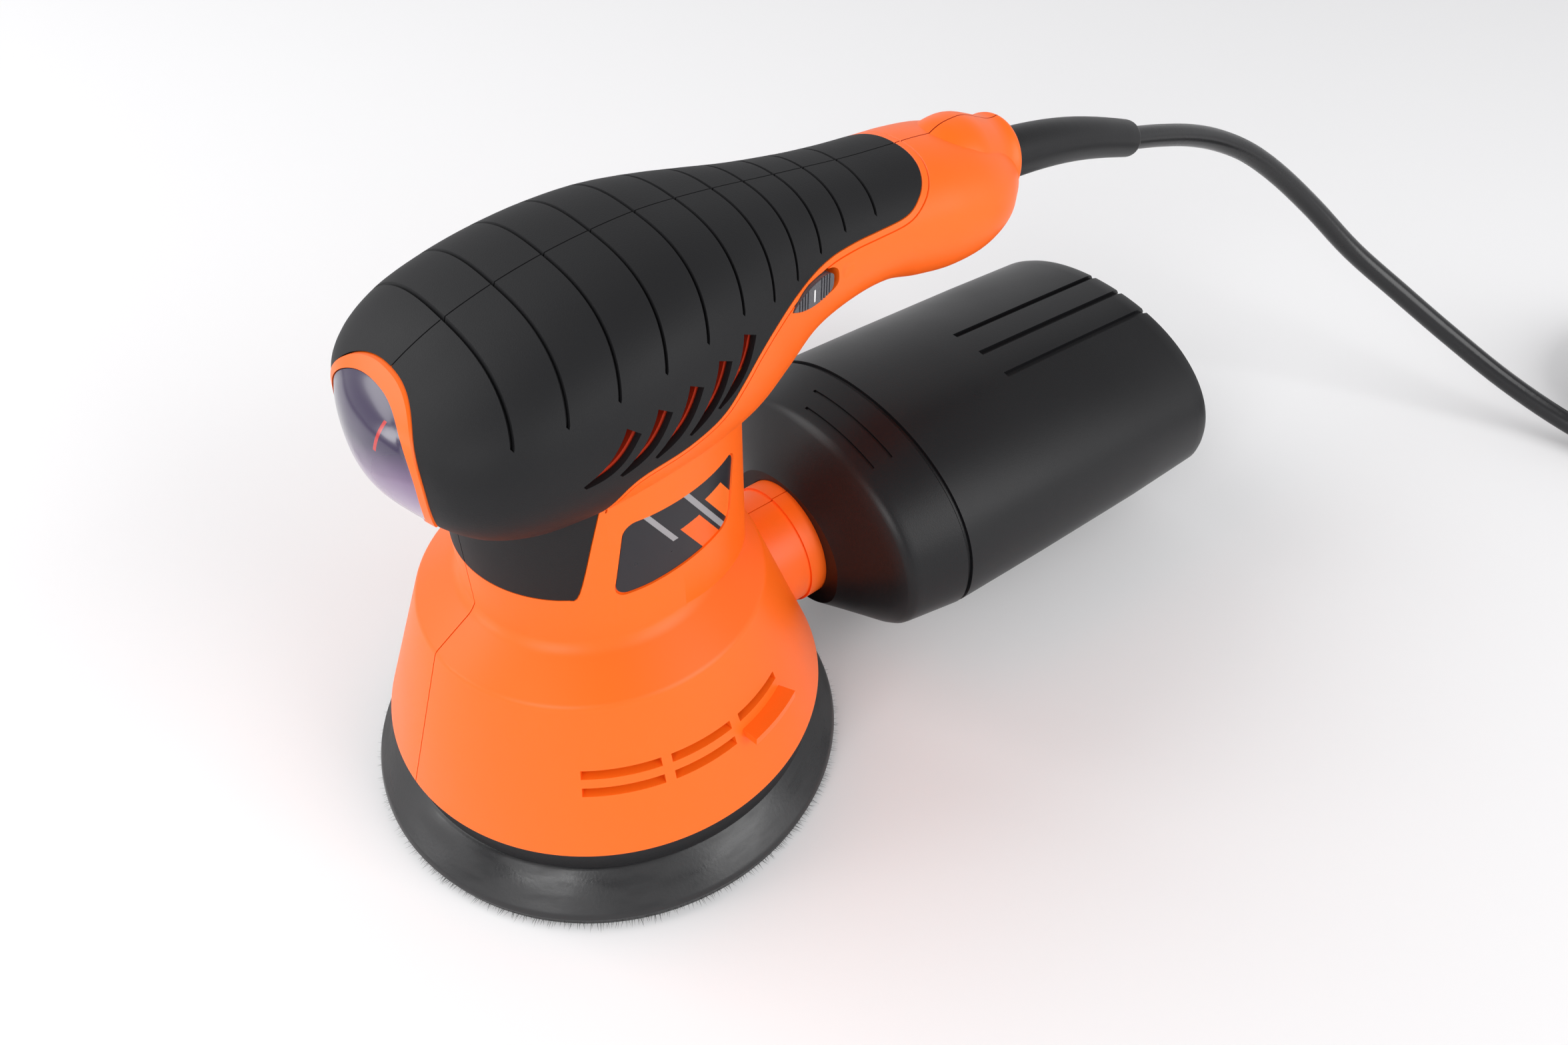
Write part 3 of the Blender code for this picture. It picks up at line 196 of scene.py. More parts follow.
class Finish:
    """One material: its Principled shader and what varies over its surface."""

    def __init__(self, name, colour, roughness, metallic=0.0, coat=0.0, **settings):
        self.material = bpy.data.materials.new(name)
        self.material.use_nodes = True
        self.tree = self.material.node_tree
        self.shader = self.tree.nodes["Principled BSDF"]
        self.shader.inputs["Base Color"].default_value = (*colour, 1.0)
        self.shader.inputs["Roughness"].default_value = roughness
        self.shader.inputs["Metallic"].default_value = metallic
        self.shader.inputs["Coat Weight"].default_value = coat
        for key, value in settings.items():
            self.shader.inputs[key.replace("_", " ")].default_value = value
        self.colour = colour
        self.material.diffuse_color = (*colour, 1.0)

    def node(self, kind, settings=None, out=0, **inputs):
        made = self.tree.nodes.new("ShaderNode" + kind)
        for key, value in (settings or {}).items():
            setattr(made, key, value)
        for key, value in inputs.items():
            socket = made.inputs[key.replace("_", " ")]
            if isinstance(value, Link):
                self.tree.links.new(value.socket, socket)
            else:
                socket.default_value = value
        return Link(self.tree, made.outputs[out])

    def place(self):
        return self.node("TexCoord", out="Object")

    def axes(self):
        """x, y and z of the surface, in millimetres."""
        split = self.tree.nodes.new("ShaderNodeSeparateXYZ")
        self.tree.links.new(self.place().socket, split.inputs[0])
        return [Link(self.tree, split.outputs[i]) * 1000.0 for i in range(3)]

    def noise(self, scale, detail=3.0, roughness=0.5):
        return self.node(
            "TexNoise", Vector=self.place(), Scale=scale, Detail=detail, Roughness=roughness, out="Fac"
        )

    def mix(self, share, first, second):
        """A colour between two others."""
        node = self.tree.nodes.new("ShaderNodeMix")
        node.data_type = "RGBA"
        for place, value in ((node.inputs[0], share), (node.inputs[6], first), (node.inputs[7], second)):
            if isinstance(value, Link):
                self.tree.links.new(value.socket, place)
            elif isinstance(value, tuple):
                place.default_value = (*value, 1.0)
            else:
                place.default_value = value
        return Link(self.tree, node.outputs[2])

    def feed(self, name, link):
        self.tree.links.new(link.socket, self.shader.inputs[name])

    def bump(self, height, depth=0.1, strength=1.0):
        made = self.node("Bump", Height=height, Distance=depth * MM, Strength=strength, out="Normal")
        self.feed("Normal", made)

    def grain(self, scale=2200.0, depth=0.03, wear=0.06):
        """Fine moulded texture, with a slow drift in colour and gloss."""
        slow = self.noise(35.0, 4.0)
        fine = self.noise(scale, 2.0)
        base = self.shader.inputs["Roughness"].default_value
        dark = tuple(c * (1 - wear) for c in self.colour)
        light = tuple(min(c * (1 + wear), 1.0) for c in self.colour)
        self.feed("Base Color", self.mix(slow, dark, light))
        self.feed("Roughness", slow * 0.16 + fine * 0.06 + (base - 0.11))
        self.bump(fine, depth)
        return self


def finishes(colours):
    """Every finish on the tool, by name."""
    orange = tuple(colours.housing)
    black = tuple(colours.plastic)
    grip = tuple(colours.grip)
    sheath = (0.007, 0.007, 0.008)
    charcoal = (0.07, 0.07, 0.08)
    made = {
        "housing": Finish("orange_housing", orange, 0.4, Specular_IOR_Level=0.35).grain(2600.0, 0.012, 0.03),
        # Darker red for the orange shell's faces under the rubber, seen through the vents: painted shade in
        # those recesses, not a different plastic.
        "inside": Finish("orange_painted_shade", (0.5, 0.03, 0.006), 0.55).grain(1500.0, 0.02),
        "grip": Finish("grip_rubber", grip, 0.6, Specular_IOR_Level=0.25).grain(3200.0, 0.035, 0.12),
        "plastic": Finish("black_plastic", black, 0.42).grain(2400.0, 0.02, 0.1),
        "box": Finish("dust_box_plastic", black, 0.38, Specular_IOR_Level=0.3).grain(2800.0, 0.02, 0.08),
        "slider": Finish("slider_plastic", charcoal, 0.26, Specular_IOR_Level=0.7).grain(2400.0, 0.02),
        "mark": Finish("white_mark", (0.8, 0.8, 0.8), 0.45).grain(2000.0, 0.01, 0.02),
        "pad": Finish("pad_rubber", (0.01, 0.01, 0.011), 0.3, Specular_IOR_Level=0.5),
        "seal": Finish("seal_rubber", (0.006, 0.006, 0.007), 0.5, Specular_IOR_Level=0.3).grain(2000.0, 0.03),
        "cord": Finish("cord_sheath", sheath, 0.28, Specular_IOR_Level=0.45).grain(600.0, 0.03, 0.1),
        "guard": Finish("guard_rubber", sheath, 0.4, Specular_IOR_Level=0.3).grain(2400.0, 0.03, 0.1),
        "steel": Finish("brushed_steel", (0.56, 0.56, 0.57), 0.32, 1.0),
        "zinc": Finish("cast_zinc", (0.42, 0.42, 0.43), 0.48, 1.0).grain(900.0, 0.05, 0.12),
        "aluminium": Finish("cast_aluminium", (0.66, 0.66, 0.67), 0.42, 1.0).grain(700.0, 0.06, 0.08),
        "lamination": Finish("lamination_steel", (0.3, 0.3, 0.32), 0.5, 1.0),
        "copper": Finish("enamelled_copper", (0.72, 0.28, 0.12), 0.3, 1.0),
        "brass": Finish("brass", (0.72, 0.52, 0.2), 0.3, 1.0).grain(500.0, 0.02, 0.08),
        "carbon": Finish("carbon", (0.045, 0.045, 0.05), 0.6).grain(1200.0, 0.04, 0.2),
        "capacitor": Finish("capacitor_foil", (0.7, 0.5, 0.14), 0.4).grain(400.0, 0.02),
        "paper": Finish("filter_paper", (0.78, 0.74, 0.64), 0.95).grain(700.0, 0.08, 0.08),
        "hook": Finish("hook_fabric", (0.035, 0.035, 0.037), 0.95),
        "lens": Finish("smoked_lens", (0.1, 0.07, 0.16), 0.22, coat=0.5, Coat_Roughness=0.12),
        "label": Finish("label_film", (0.018, 0.018, 0.022), 0.3, Specular_IOR_Level=0.3),
    }
    steel = made["steel"]
    x, y, z = steel.axes()
    scratches = steel.node(
        "TexNoise",
        Vector=steel.node("Mapping", Vector=steel.place(), Scale=(2500.0, 2500.0, 60.0)),
        Scale=1.0,
        Detail=3.0,
        out="Fac",
    )
    steel.feed("Roughness", scratches * 0.25 + 0.2)
    steel.bump(scratches, 0.01)
    plates = made["lamination"]
    x, y, z = plates.axes()
    lines = (z * (TURN / 0.7)).wave() * 0.5 + 0.5
    plates.feed("Roughness", lines * 0.2 + 0.4)
    plates.feed("Base Color", plates.mix(lines, (0.2, 0.2, 0.21), (0.36, 0.36, 0.38)))
    plates.bump(lines, 0.08)
    wound = made["copper"]
    x, y, z = wound.axes()
    turns = ((x + y + z * 0.4) * (TURN / 0.8)).wave() * 0.5 + 0.5
    wound.feed("Base Color", wound.mix(turns, (0.42, 0.14, 0.05), (0.78, 0.33, 0.15)))
    wound.bump(turns, 0.15)
    pad = made["pad"]
    wipes = pad.node(
        "TexNoise",
        Vector=pad.node("Mapping", Vector=pad.place(), Scale=(30.0, 30.0, 160.0)),
        Scale=1.0,
        Detail=5.0,
        Roughness=0.6,
        out="Fac",
    )
    pad.feed("Roughness", wipes.ramp(0.35, 0.65) * 0.3 + 0.22)
    pad.feed("Base Color", pad.mix(wipes.ramp(0.4, 0.7), (0.008, 0.008, 0.009), (0.016, 0.016, 0.017)))
    pad.bump(pad.noise(1200.0, 3.0), 0.03)
    hook = made["hook"]
    fuzz = hook.noise(900.0, 3.0, 0.7)
    hook.feed("Base Color", hook.mix(fuzz, (0.012, 0.012, 0.013), (0.1, 0.1, 0.1)))
    hook.bump(fuzz, 0.5)
    lens = made["lens"]
    x, y, z = lens.axes()
    # Painted reflection: the base colour pales towards the bottom of the lens, lavender below and dark violet
    # above, to stand for the studio light mirrored in its lower part; the noise wobbles that edge.
    drift = lens.noise(60.0, 2.0) * 3.0
    height = (z + drift - 1.5 - x * 0.25).ramp(111.0, 141.0)
    painted_reflection_low = lens.mix(height.ramp(0.0, 0.42), (0.42, 0.34, 0.46), (0.16, 0.09, 0.2))
    colour = lens.mix(height.ramp(0.38, 0.62), painted_reflection_low, (0.02, 0.008, 0.05))
    streak = ((x - z * 0.12 + 8.2).absolute() < 0.45) * (z > 131.0) * (z < 137.0)
    colour = lens.mix(streak, colour, (0.5, 0.012, 0.012))
    lens.feed("Base Color", colour)
    label = made["label"]
    x, y, z = label.axes()
    slant = y + z * 0.62
    streaks = (
        (slant > 62.5) * (slant < 64.0) * (z > 92.0),
        (slant > 66.0) * (slant < 72.0) * (z < 94.0),
        (slant > 73.0) * (slant < 74.6),
        (slant > 76.0) * (slant < 82.0) * (z < 97.0),
    )
    grey = (0.3, 0.29, 0.3)
    colour = label.colour
    for streak, tone in zip(streaks, (grey, (0.9, 0.12, 0.01), grey, (0.9, 0.16, 0.02))):
        colour = label.mix(streak, colour, tone)
    label.feed("Base Color", colour)
    label.feed("Roughness", label.noise(300.0) * 0.12 + 0.24)
    return {name: finish.material for name, finish in made.items()}


def coat(obj, name):
    """Gives a piece one of the tool's finishes."""
    store = bpy.context.scene["sander_finishes"]
    obj.data.materials.clear()
    obj.data.materials.append(bpy.data.materials[store[name]])
    return obj


# ---------------------------------------------------------------- mesh helpers
def deselect():
    for obj in list(bpy.context.selected_objects):
        obj.select_set(False)


def activate(obj):
    deselect()
    obj.select_set(True)
    bpy.context.view_layer.objects.active = obj


def settle(obj, smooth=35.0):
    """Puts a piece's place in its mesh and shades it by angle."""
    activate(obj)
    bpy.ops.object.transform_apply(location=True, rotation=True, scale=True)
    obj.data.shade_smooth()
    obj.data.set_sharp_from_angle(angle=math.radians(smooth))
    return obj


def from_bmesh(bm, name):
    """An object in metres from a bmesh in millimetres."""
    bmesh.ops.recalc_face_normals(bm, faces=bm.faces)
    bmesh.ops.scale(bm, vec=(MM, MM, MM), verts=bm.verts)
    mesh = bpy.data.meshes.new(name)
    bm.to_mesh(mesh)
    bm.free()
    obj = bpy.data.objects.new(name, mesh)
    bpy.context.scene.collection.objects.link(obj)
    return obj


def solid(rings, name, closed=False):
    """Rings of points of one count, joined by faces and capped at both ends unless they close on themselves."""
    bm = bmesh.new()
    made = [[bm.verts.new(p) for p in ring] for ring in rings]
    count = len(made[0])
    pairs = list(zip(made, made[1:]))
    if closed:
        pairs.append((made[-1], made[0]))
    for a, b in pairs:
        for i in range(count):
            j = (i + 1) % count
            bm.faces.new((a[i], a[j], b[j], b[i]))
    if not closed:
        bm.faces.new(made[0])
        bm.faces.new(list(reversed(made[-1])))
    return from_bmesh(bm, name)


def rounded(points, size, steps=4):
    """A profile with its corners rounded by size, given (a, b) or (a, b, size) points; the ends stay."""
    made = [tuple(points[0][:2])]
    for before, at, after in zip(points, points[1:], points[2:]):
        corner = Vector(at[:2])
        reach = at[2] if len(at) > 2 else size
        first, second = Vector(before[:2]) - corner, Vector(after[:2]) - corner
        reach = min(reach, first.length * 0.49, second.length * 0.49)
        a, b = corner + first.normalized() * reach, corner + second.normalized() * reach
        for i in range(steps + 1):
            t = i / steps
            made.append(tuple(a * (1 - t) ** 2 + corner * 2 * t * (1 - t) + b * t**2))
    made.append(tuple(points[-1][:2]))
    return made


def turned(profile, name, sides=128, start=(0.0, 0.0, 0.0), direction=(0.0, 0.0, 1.0), ring=True):
    """A turned piece from (radius, height) points about an axis."""
    steps = [TURN * i / sides for i in range(sides)]
    turn = Vector((0.0, 0.0, 1.0)).rotation_difference(Vector(direction).normalized())
    move = Matrix.Translation(Vector(start)) @ turn.to_matrix().to_4x4()
    rings = []
    for radius, height in profile:
        rings.append([move @ Vector((radius * math.cos(a), radius * math.sin(a), height)) for a in steps])
    return solid(rings, name, closed=ring)


def rod(radius, start, end, name, sides=48):
    way = Vector(end) - Vector(start)
    return turned(((radius, 0.0), (radius, way.length)), name, sides, start, way, ring=False)


def block(low, high, name):
    corners = [(low[0], low[1]), (high[0], low[1]), (high[0], high[1]), (low[0], high[1])]
    return solid([[Vector((*c, z)) for c in corners] for z in (low[2], high[2])], name)


def prism(outline, low, high, name, axis="X"):
    build = {
        "X": lambda p, d: Vector((d, p[0], p[1])),
        "Y": lambda p, d: Vector((p[0], d, p[1])),
        "Z": lambda p, d: Vector((p[0], p[1], d)),
    }[axis]
    return solid([[build(p, d) for p in outline] for d in (low, high)], name)


def combine(target, tool, operation="DIFFERENCE"):
    modifier = target.modifiers.new("cut", "BOOLEAN")
    modifier.operation = operation
    modifier.solver = "EXACT"
    modifier.object = tool
    activate(target)
    bpy.ops.object.modifier_apply(modifier=modifier.name)
    bpy.data.objects.remove(tool, do_unlink=True)
    return target


def cut(target, *tools):
    for tool in tools:
        combine(target, tool)
    return target


def join(target, *tools):
    for tool in tools:
        combine(target, tool, "UNION")
    return target


def copy_of(obj, name):
    made = obj.copy()
    made.data = obj.data.copy()
    made.name = name
    bpy.context.scene.collection.objects.link(made)
    return made


def smooth_line(points, per_span):
    """Points along a smooth curve through the given ones."""
    given = [Vector(p) for p in points]
    given = [2 * given[0] - given[1], *given, 2 * given[-1] - given[-2]]
    line = []
    for a, b, c, d in zip(given, given[1:], given[2:], given[3:]):
        for i in range(per_span):
            t = i / per_span
            line.append(
                0.5
                * (2 * b + (c - a) * t + (2 * a - 5 * b + 4 * c - d) * t**2 + (3 * b - a - 3 * c + d) * t**3)
            )
    return [*line, given[-2]]


def smooth_outline(points, per_span=6):
    return [(p.x, p.y) for p in smooth_line([(a, b, 0.0) for a, b in points], per_span)]


def oval(half_width, half_height, middle, power=2.4, count=120):
    made = []
    for i in range(count):
        c, s = math.cos(TURN * i / count), math.sin(TURN * i / count)
        made.append(
            (
                half_width * math.copysign(abs(c) ** (2 / power), c),
                middle + half_height * math.copysign(abs(s) ** (2 / power), s),
            )
        )
    return made


def even_ring(points, count):
    """The same closed outline with evenly spaced points."""
    points = np.array(points)
    closed = np.vstack([points, points[:1]])
    run = np.concatenate([[0], np.cumsum(np.linalg.norm(np.diff(closed, axis=0), axis=1))])
    at = np.linspace(0, run[-1], count, endpoint=False)
    return np.stack([np.interp(at, run, closed[:, k]) for k in range(closed.shape[1])], axis=1)


def section(station, inset, count, powers):
    y, width, top, middle, bottom = station[:5]
    angle = TURN * np.arange(360) / 360
    c, s = np.cos(angle), np.sin(angle)
    power = np.where(s >= 0, powers[0], powers[1])
    reach = np.where(s >= 0, top - middle, middle - bottom) - inset
    x = (width - inset) * np.sign(c) * np.abs(c) ** (2 / power)
    z = middle + reach * np.sign(s) * np.abs(s) ** (2 / power)
    ring = even_ring(np.stack([x, z], axis=1), count)
    return [Vector((a, y, b)) for a, b in ring]


def stations_between(stations, step):
    """Stations every step along a smooth curve through the given ones."""
    given = np.array([s[:5] for s in stations], float)
    run = np.concatenate([[0], np.cumsum(np.linalg.norm(np.diff(given[:, :3], axis=0), axis=1))])
    slope = np.gradient(given, run, axis=0)
    made = []
    for i in range(len(run) - 1):
        length = run[i + 1] - run[i]
        count = max(int(round(length / step)), 1)
        for k in range(count):
            t = k / count
            a, b = 2 * t**3 - 3 * t**2 + 1, t**3 - 2 * t**2 + t
            c, d = -2 * t**3 + 3 * t**2, t**3 - t**2
            made.append(a * given[i] + b * length * slope[i] + c * given[i + 1] + d * length * slope[i + 1])
    made.append(given[-1])
    return made


# ---------------------------------------------------------------- housing shapes
def head(inset, name, step=0.8, count=120):
    """The head and handle, drawn in by the inset all round."""
    first, last = STATIONS[0][0], STATIONS[-1][0]
    rings = []
    for station in stations_between(STATIONS, step):
        y = station[0]
        blend = min(max((y - 20.0) / 50.0, 0.0), 1.0)
        upper = 2.7 - 0.4 * blend
        nose = min(max((-12.0 - y) / (-12.0 - first), 0.0), 1.0)
        tail = min(max((y - 100.0) / (last - 100.0), 0.0), 1.0)
        drawn = min(inset, station[1] * 0.8, (station[2] - station[3]) * 0.8)
        moved = (y + inset * nose - inset * tail, *station[1:])
        rings.append(section(moved, drawn, count, (upper, 2.15)))
    return solid(rings, name)


def neck(inset, name, low=NECK_BASE - 8.0, high=NECK_TOP, sides=160):
    rings = []
    for z in np.linspace(low, high, 2):
        ring = []
        for i in range(sides):
            angle = TURN * (i + 0.5) / sides
            x = (NECK_RADIUS - inset) * math.cos(angle)
            reach = NECK_RADIUS if math.sin(angle) < 0 else NECK_REAR
            ring.append(Vector((x, (reach - inset) * math.sin(angle), z)))
        rings.append(ring)
    return solid(rings, name)


def upper_body(inset, name, step=1.6, count=96):
    return join(head(inset, name, step, count), neck(inset, name + "_neck"))


def skirt_radius(height):
    share = (height - RIM_HEIGHT) / (SHOULDER_HEIGHT - RIM_HEIGHT)
    return RIM_RADIUS + (SHOULDER_RADIUS - RIM_RADIUS) * share


def skirt_outside():
    profile = [
        (RIM_RADIUS - 6.0, RIM_HEIGHT + 0.01),
        (RIM_RADIUS - 0.2, RIM_HEIGHT, 0.5),
        (SHOULDER_RADIUS, SHOULDER_HEIGHT, 0.9),
        (NECK_RADIUS + 1.2, NECK_BASE - 1.4, 1.6),
        (NECK_RADIUS - 1.0, NECK_BASE + 2.4),
        (NECK_RADIUS - 3.0, NECK_BASE + 2.5),
    ]
    return turned(rounded(profile, 1.0, 5), "skirt", sides=180, ring=False)


def skirt_inside():
    profile = (
        (RIM_RADIUS - WALL + 0.4, RIM_HEIGHT - 1.0),
        (SHOULDER_RADIUS - WALL, SHOULDER_HEIGHT - 1.6),
        (SHOULDER_RADIUS - WALL - 2.4, SHOULDER_HEIGHT + 0.4),
        (NECK_RADIUS - WALL, NECK_BASE - 3.8),
        (10.0, NECK_BASE - 2.4),
    )
    return turned(profile, "skirt_hollow", sides=90, ring=False)


def grip_region(grow, name):
    edge = [Vector(p) for p in smooth_outline(GRIP_EDGE, 5)]
    moved = []
    for i, point in enumerate(edge):
        along = (edge[min(i + 1, len(edge) - 1)] - edge[max(i - 1, 0)]).normalized()
        moved.append(point + Vector((along.y, -along.x)) * grow)
    low = GRIP_EDGE[0][1] - grow
    outline = [(-FAR, low), (moved[0].x - 1.6, low), *[(p.x, p.y) for p in moved[1:]]]
    outline += [(moved[-1].x + 1.0, moved[-1].y + 3.0), (moved[-1].x + 1.2, FAR), (-FAR, FAR)]
    return prism(outline, -FAR, FAR, name)


def window(grow, name, start=-FAR, end=-31.0):
    outline = oval(WINDOW_HALF_WIDTH + grow, WINDOW_HALF_HEIGHT + grow, WINDOW_HEIGHT)
    return prism(outline, start, end, name, axis="Y")


def guard_axis():
    return (GUARD_END - GUARD_START).normalized()


def collar():
    start = GUARD_START - guard_axis() * 15.0
    profile = (
        (6.0, -13.0), (11.4, -6.5), (13.2, 0.5), (12.3, 5.5), (11.3, 10.0), (11.2, 12.5), (11.9, 14.6),
        (11.0, 15.9), (7.4, 15.4),
    )
    return turned(rounded(profile, 2.6, 4), "collar", 96, start, guard_axis(), ring=False)


def spout(radius, name, end=SPOUT_END):
    back = RIM_RADIUS - 0.4
    at = SPOUT_HEIGHT
    tube = rod(radius, (0.0, back, at), (0.0, end, at), name, sides=96)
    lobe = rod(radius - 0.6, (0.0, 20.0, at), (0.0, back + 1.0, at), name + "_lobe", sides=96)
    floor = RIM_HEIGHT + (SPOUT_RADIUS - radius)
    cut(lobe, block((-FAR, -FAR, -FAR), (FAR, FAR, floor), "floor"))
    return join(tube, lobe)


def vent(low_y, low_z, high_y, high_z, sign, grow, name):
    low, high = Vector((low_y, low_z)), Vector((high_y, high_z))
    along = (high - low).normalized()
    side = Vector((along.y, -along.x))
    outer, inner = [], []
    for i in range(19):
        t = i / 18
        spine = low.lerp(high, t) + side * 2.0 * math.sin(math.pi * t) * (1.0 - 0.3 * t)
        half = max(0.25 + grow + 1.5 * (1.0 - (1.0 - t) ** 2) ** 0.9, 0.12)
        outer.append(spine + side * half)
        inner.append(spine - side * half * 0.9 - along * t**8 * 0.9)
    outline = [(p.x, p.y) for p in [*outer, *reversed(inner)]]
    ends = sorted((sign * 5.0, sign * FAR))
    return prism(outline, *ends, name)


def skirt_slot(start, end, height, name):
    near, far = skirt_radius(height) - 6.5, skirt_radius(height) + 4.0
    low, high = height - 1.15, height + 1.15
    rings = []
    for i in range(13):
        angle = math.radians(start + (end - start) * i / 12)
        spots = []
        for radius, z in ((near, low), (far, low), (far, high), (near, high)):
            spots.append(Vector((radius * math.cos(angle), radius * math.sin(angle), z)))
        rings.append(spots)
    return solid(rings, name)


def switch_axes():
    """The slide direction, the way up its face and the way out of it."""
    along = Vector((-0.3, 1.0, -0.02)).normalized()
    out = Vector((1.0, 0.3, 0.0)).normalized()
    return along, out.cross(along).normalized(), out


def switch_opening(grow, extra, name, inward, outward):
    """The lens-shaped switch opening along the right flank."""
    along, up, out = switch_axes()
    edge = (
        (-7.8, 0.0), (-5.5, 1.5), (-2.0, 2.6), (2.0, 3.0), (5.4, 2.8), (7.3, 1.7), (7.6, 0.0),
        (7.2, -1.7), (5.0, -2.6), (1.0, -2.6), (-3.0, -2.0), (-6.0, -0.9),
    )
    loop = smooth_outline([edge[-1], *edge, edge[0]], 4)[4:-4]
    outline = []
    for a, b in loop:
        size = math.hypot(a, b)
        outline.append((a + grow * a / size + (extra if a > 0 else 0.0), b + grow * b / size))
    outline = outline[::-1]
    rings = [[SWITCH_MIDDLE + along * a + up * b + out * d for a, b in outline] for d in (-inward, outward)]
    return solid(rings, name)


def bundle(pieces, name):
    """Pieces that don't touch, as one mesh."""
    activate(pieces[0])
    for piece in pieces:
        piece.select_set(True)
    bpy.ops.object.join()
    pieces[0].name = name
    return pieces[0]


def surface_layer(shape, depth, name):
    """The layer of a body between a little outside its surface and a depth inside it."""
    return cut(shape(-0.6, name), shape(depth, name + "_core"))


def head_layer(depth, name):
    return surface_layer(lambda inset, part: head(inset, part, 1.6, 96), depth, name)


def grip_grooves():
    slabs = []
    for i, (y, z) in enumerate(GROOVES):
        top = 166.0
        run = GROOVE_LEAN * (top - z)
        half = GROOVE_WIDTH / 2
        low = ((y - half, z + 0.6), (y, z), (y + half, z + 0.6))
        outline = (*low, (y + run + half, top), (y + run - half, top))
        slabs.append(prism(outline, -FAR, FAR, f"groove_{i}"))
    return combine(bundle(slabs, "grooves"), head_layer(GROOVE_DEPTH, "groove_layer"), "INTERSECT")


def lip_line():
    """The fine line that sets off the raised lip along the rubber's edge."""
    band = cut(grip_region(1.75, "lip_line"), grip_region(1.4, "lip_inner"))
    return combine(band, head_layer(0.4, "lip_layer"), "INTERSECT")


def panel(low, high, inset, sign, name):
    """The label field on the neck's flank, between two distances off its surface."""
    rings = []
    start, end, columns, corner = -15.8 + inset * 1.9, 40.0 - inset * 1.6, 44, 3.2
    for i in range(columns + 1):
        share = 0.5 - 0.5 * math.cos(math.pi * i / columns)
        angle = start + (end - start) * share
        near = min(angle - start, end - angle) * 0.55
        short = max(corner - near, 0.0)
        drop = corner - math.sqrt(max(corner**2 - short**2, 0.0))
        bottom, top = 83.4 + inset + drop, 104.2 - 2.2 * share - inset - drop
        ring = []
        for offset, z in ((low, bottom), (high, bottom), (high, top), (low, top)):
            at = math.radians(angle + 0.37 * (z - 94.0))
            reach = NECK_RADIUS if at < 0 else NECK_REAR
            x, y = (NECK_RADIUS + offset) * math.cos(at), (reach + offset) * math.sin(at)
            ring.append(Vector((sign * x, y, z)))
        rings.append(ring)
    return solid(rings, name)


# ---------------------------------------------------------------- operators
class SanderSizes(bpy.types.PropertyGroup):
    slider_ribs: IntProperty(
        name="Slider ribs", description="Fine ribs at each end of the switch slider", default=4, min=1
    )
    cord_turns: FloatProperty(
        name="Turn pitch", description="Distance between the cord's turns in the coil", default=6.6, unit="NONE"
    )
    fringe: IntProperty(
        name="Fringe hairs", description="Hairs around the hook layer's edge", default=900, min=10
    )


class SanderColours(bpy.types.PropertyGroup):
    housing: FloatVectorProperty(
        name="Housing", description="Moulded housing shells", subtype="COLOR", default=(1.0, 0.14, 0.006)
    )
    grip: FloatVectorProperty(
        name="Grip",
        description="Rubber over the head and handle",
        subtype="COLOR",
        default=(0.009, 0.009, 0.01),
    )
    plastic: FloatVectorProperty(
        name="Plastic", description="Black moulded parts", subtype="COLOR", default=(0.006, 0.006, 0.007)
    )
    floor: FloatVectorProperty(
        name="Floor", description="Studio floor", subtype="COLOR", default=(0.86, 0.855, 0.86)
    )


class SANDER_OT_stage(bpy.types.Operator):
    """Floor, soft lights and the camera"""

    bl_idname = "sander.stage"
    bl_label = "Stage"

    def execute(self, context):
        colours = context.scene.sander_colours
        store = {name: made.name for name, made in finishes(colours).items()}
        context.scene["sander_finishes"] = store
        bpy.ops.mesh.primitive_plane_add(size=12.0, location=(0.0, 0.0, -0.0003))
        floor = context.active_object
        floor.name = "studio_floor"
        made = Finish("floor_paper", tuple(colours.floor), 0.7)
        made.feed("Roughness", made.noise(30.0) * 0.1 + 0.65)
        floor.data.materials.append(made.material)
        context.scene.view_settings.view_transform = "Standard"
        world = bpy.data.worlds.new("studio")
        world.use_nodes = True
        tree = world.node_tree
        place = tree.nodes.new("ShaderNodeTexCoord")
        split = tree.nodes.new("ShaderNodeSeparateXYZ")
        ramp = tree.nodes.new("ShaderNodeMapRange")
        tree.links.new(place.outputs["Generated"], split.inputs[0])
        tree.links.new(split.outputs["Z"], ramp.inputs["Value"])
        for socket, value in zip(ramp.inputs[1:5], (0.0, 0.9, 1.0, 0.34)):
            socket.default_value = value
        tree.links.new(ramp.outputs["Result"], tree.nodes["Background"].inputs["Strength"])
        tree.nodes["Background"].inputs["Color"].default_value = (0.98, 0.985, 1.0, 1.0)
        context.scene.world = world
        lights = (
            ("key", (-0.75, -0.55, 0.95), 0.9, 8.4),
            ("fill", (0.55, -1.1, 0.75), 0.6, 6.0),
            ("side", (1.1, 0.5, 0.7), 0.9, 9.5),
            ("front", (-0.45, -1.0, 0.35), 0.3, 1.6),
        )
        for name, spot, size, power in lights:
            data = bpy.data.lights.new(name, "AREA")
            data.size = size
            data.energy = power
            light = bpy.data.objects.new(name, data)
            light.location = spot
            light.rotation_mode = "QUATERNION"
            light.rotation_quaternion = (Vector((0.0, 0.05, 0.06)) - Vector(spot)).to_track_quat("-Z", "Y")
            context.scene.collection.objects.link(light)
        data = bpy.data.cameras.new("camera")
        data.lens = CAMERA_LENS
        data.sensor_width = 36.0
        data.clip_start = 0.01
        camera = bpy.data.objects.new("camera", data)
        a, e = math.radians(CAMERA_TURN), math.radians(CAMERA_RISE)
        back = Vector((math.sin(a) * math.cos(e), -math.cos(a) * math.cos(e), math.sin(e)))
        camera.location = CAMERA_SPOT
        camera.rotation_mode = "QUATERNION"
        camera.rotation_quaternion = (-back).to_track_quat("-Z", "Y")
        context.scene.collection.objects.link(camera)
        context.scene.camera = camera
        return {"FINISHED"}


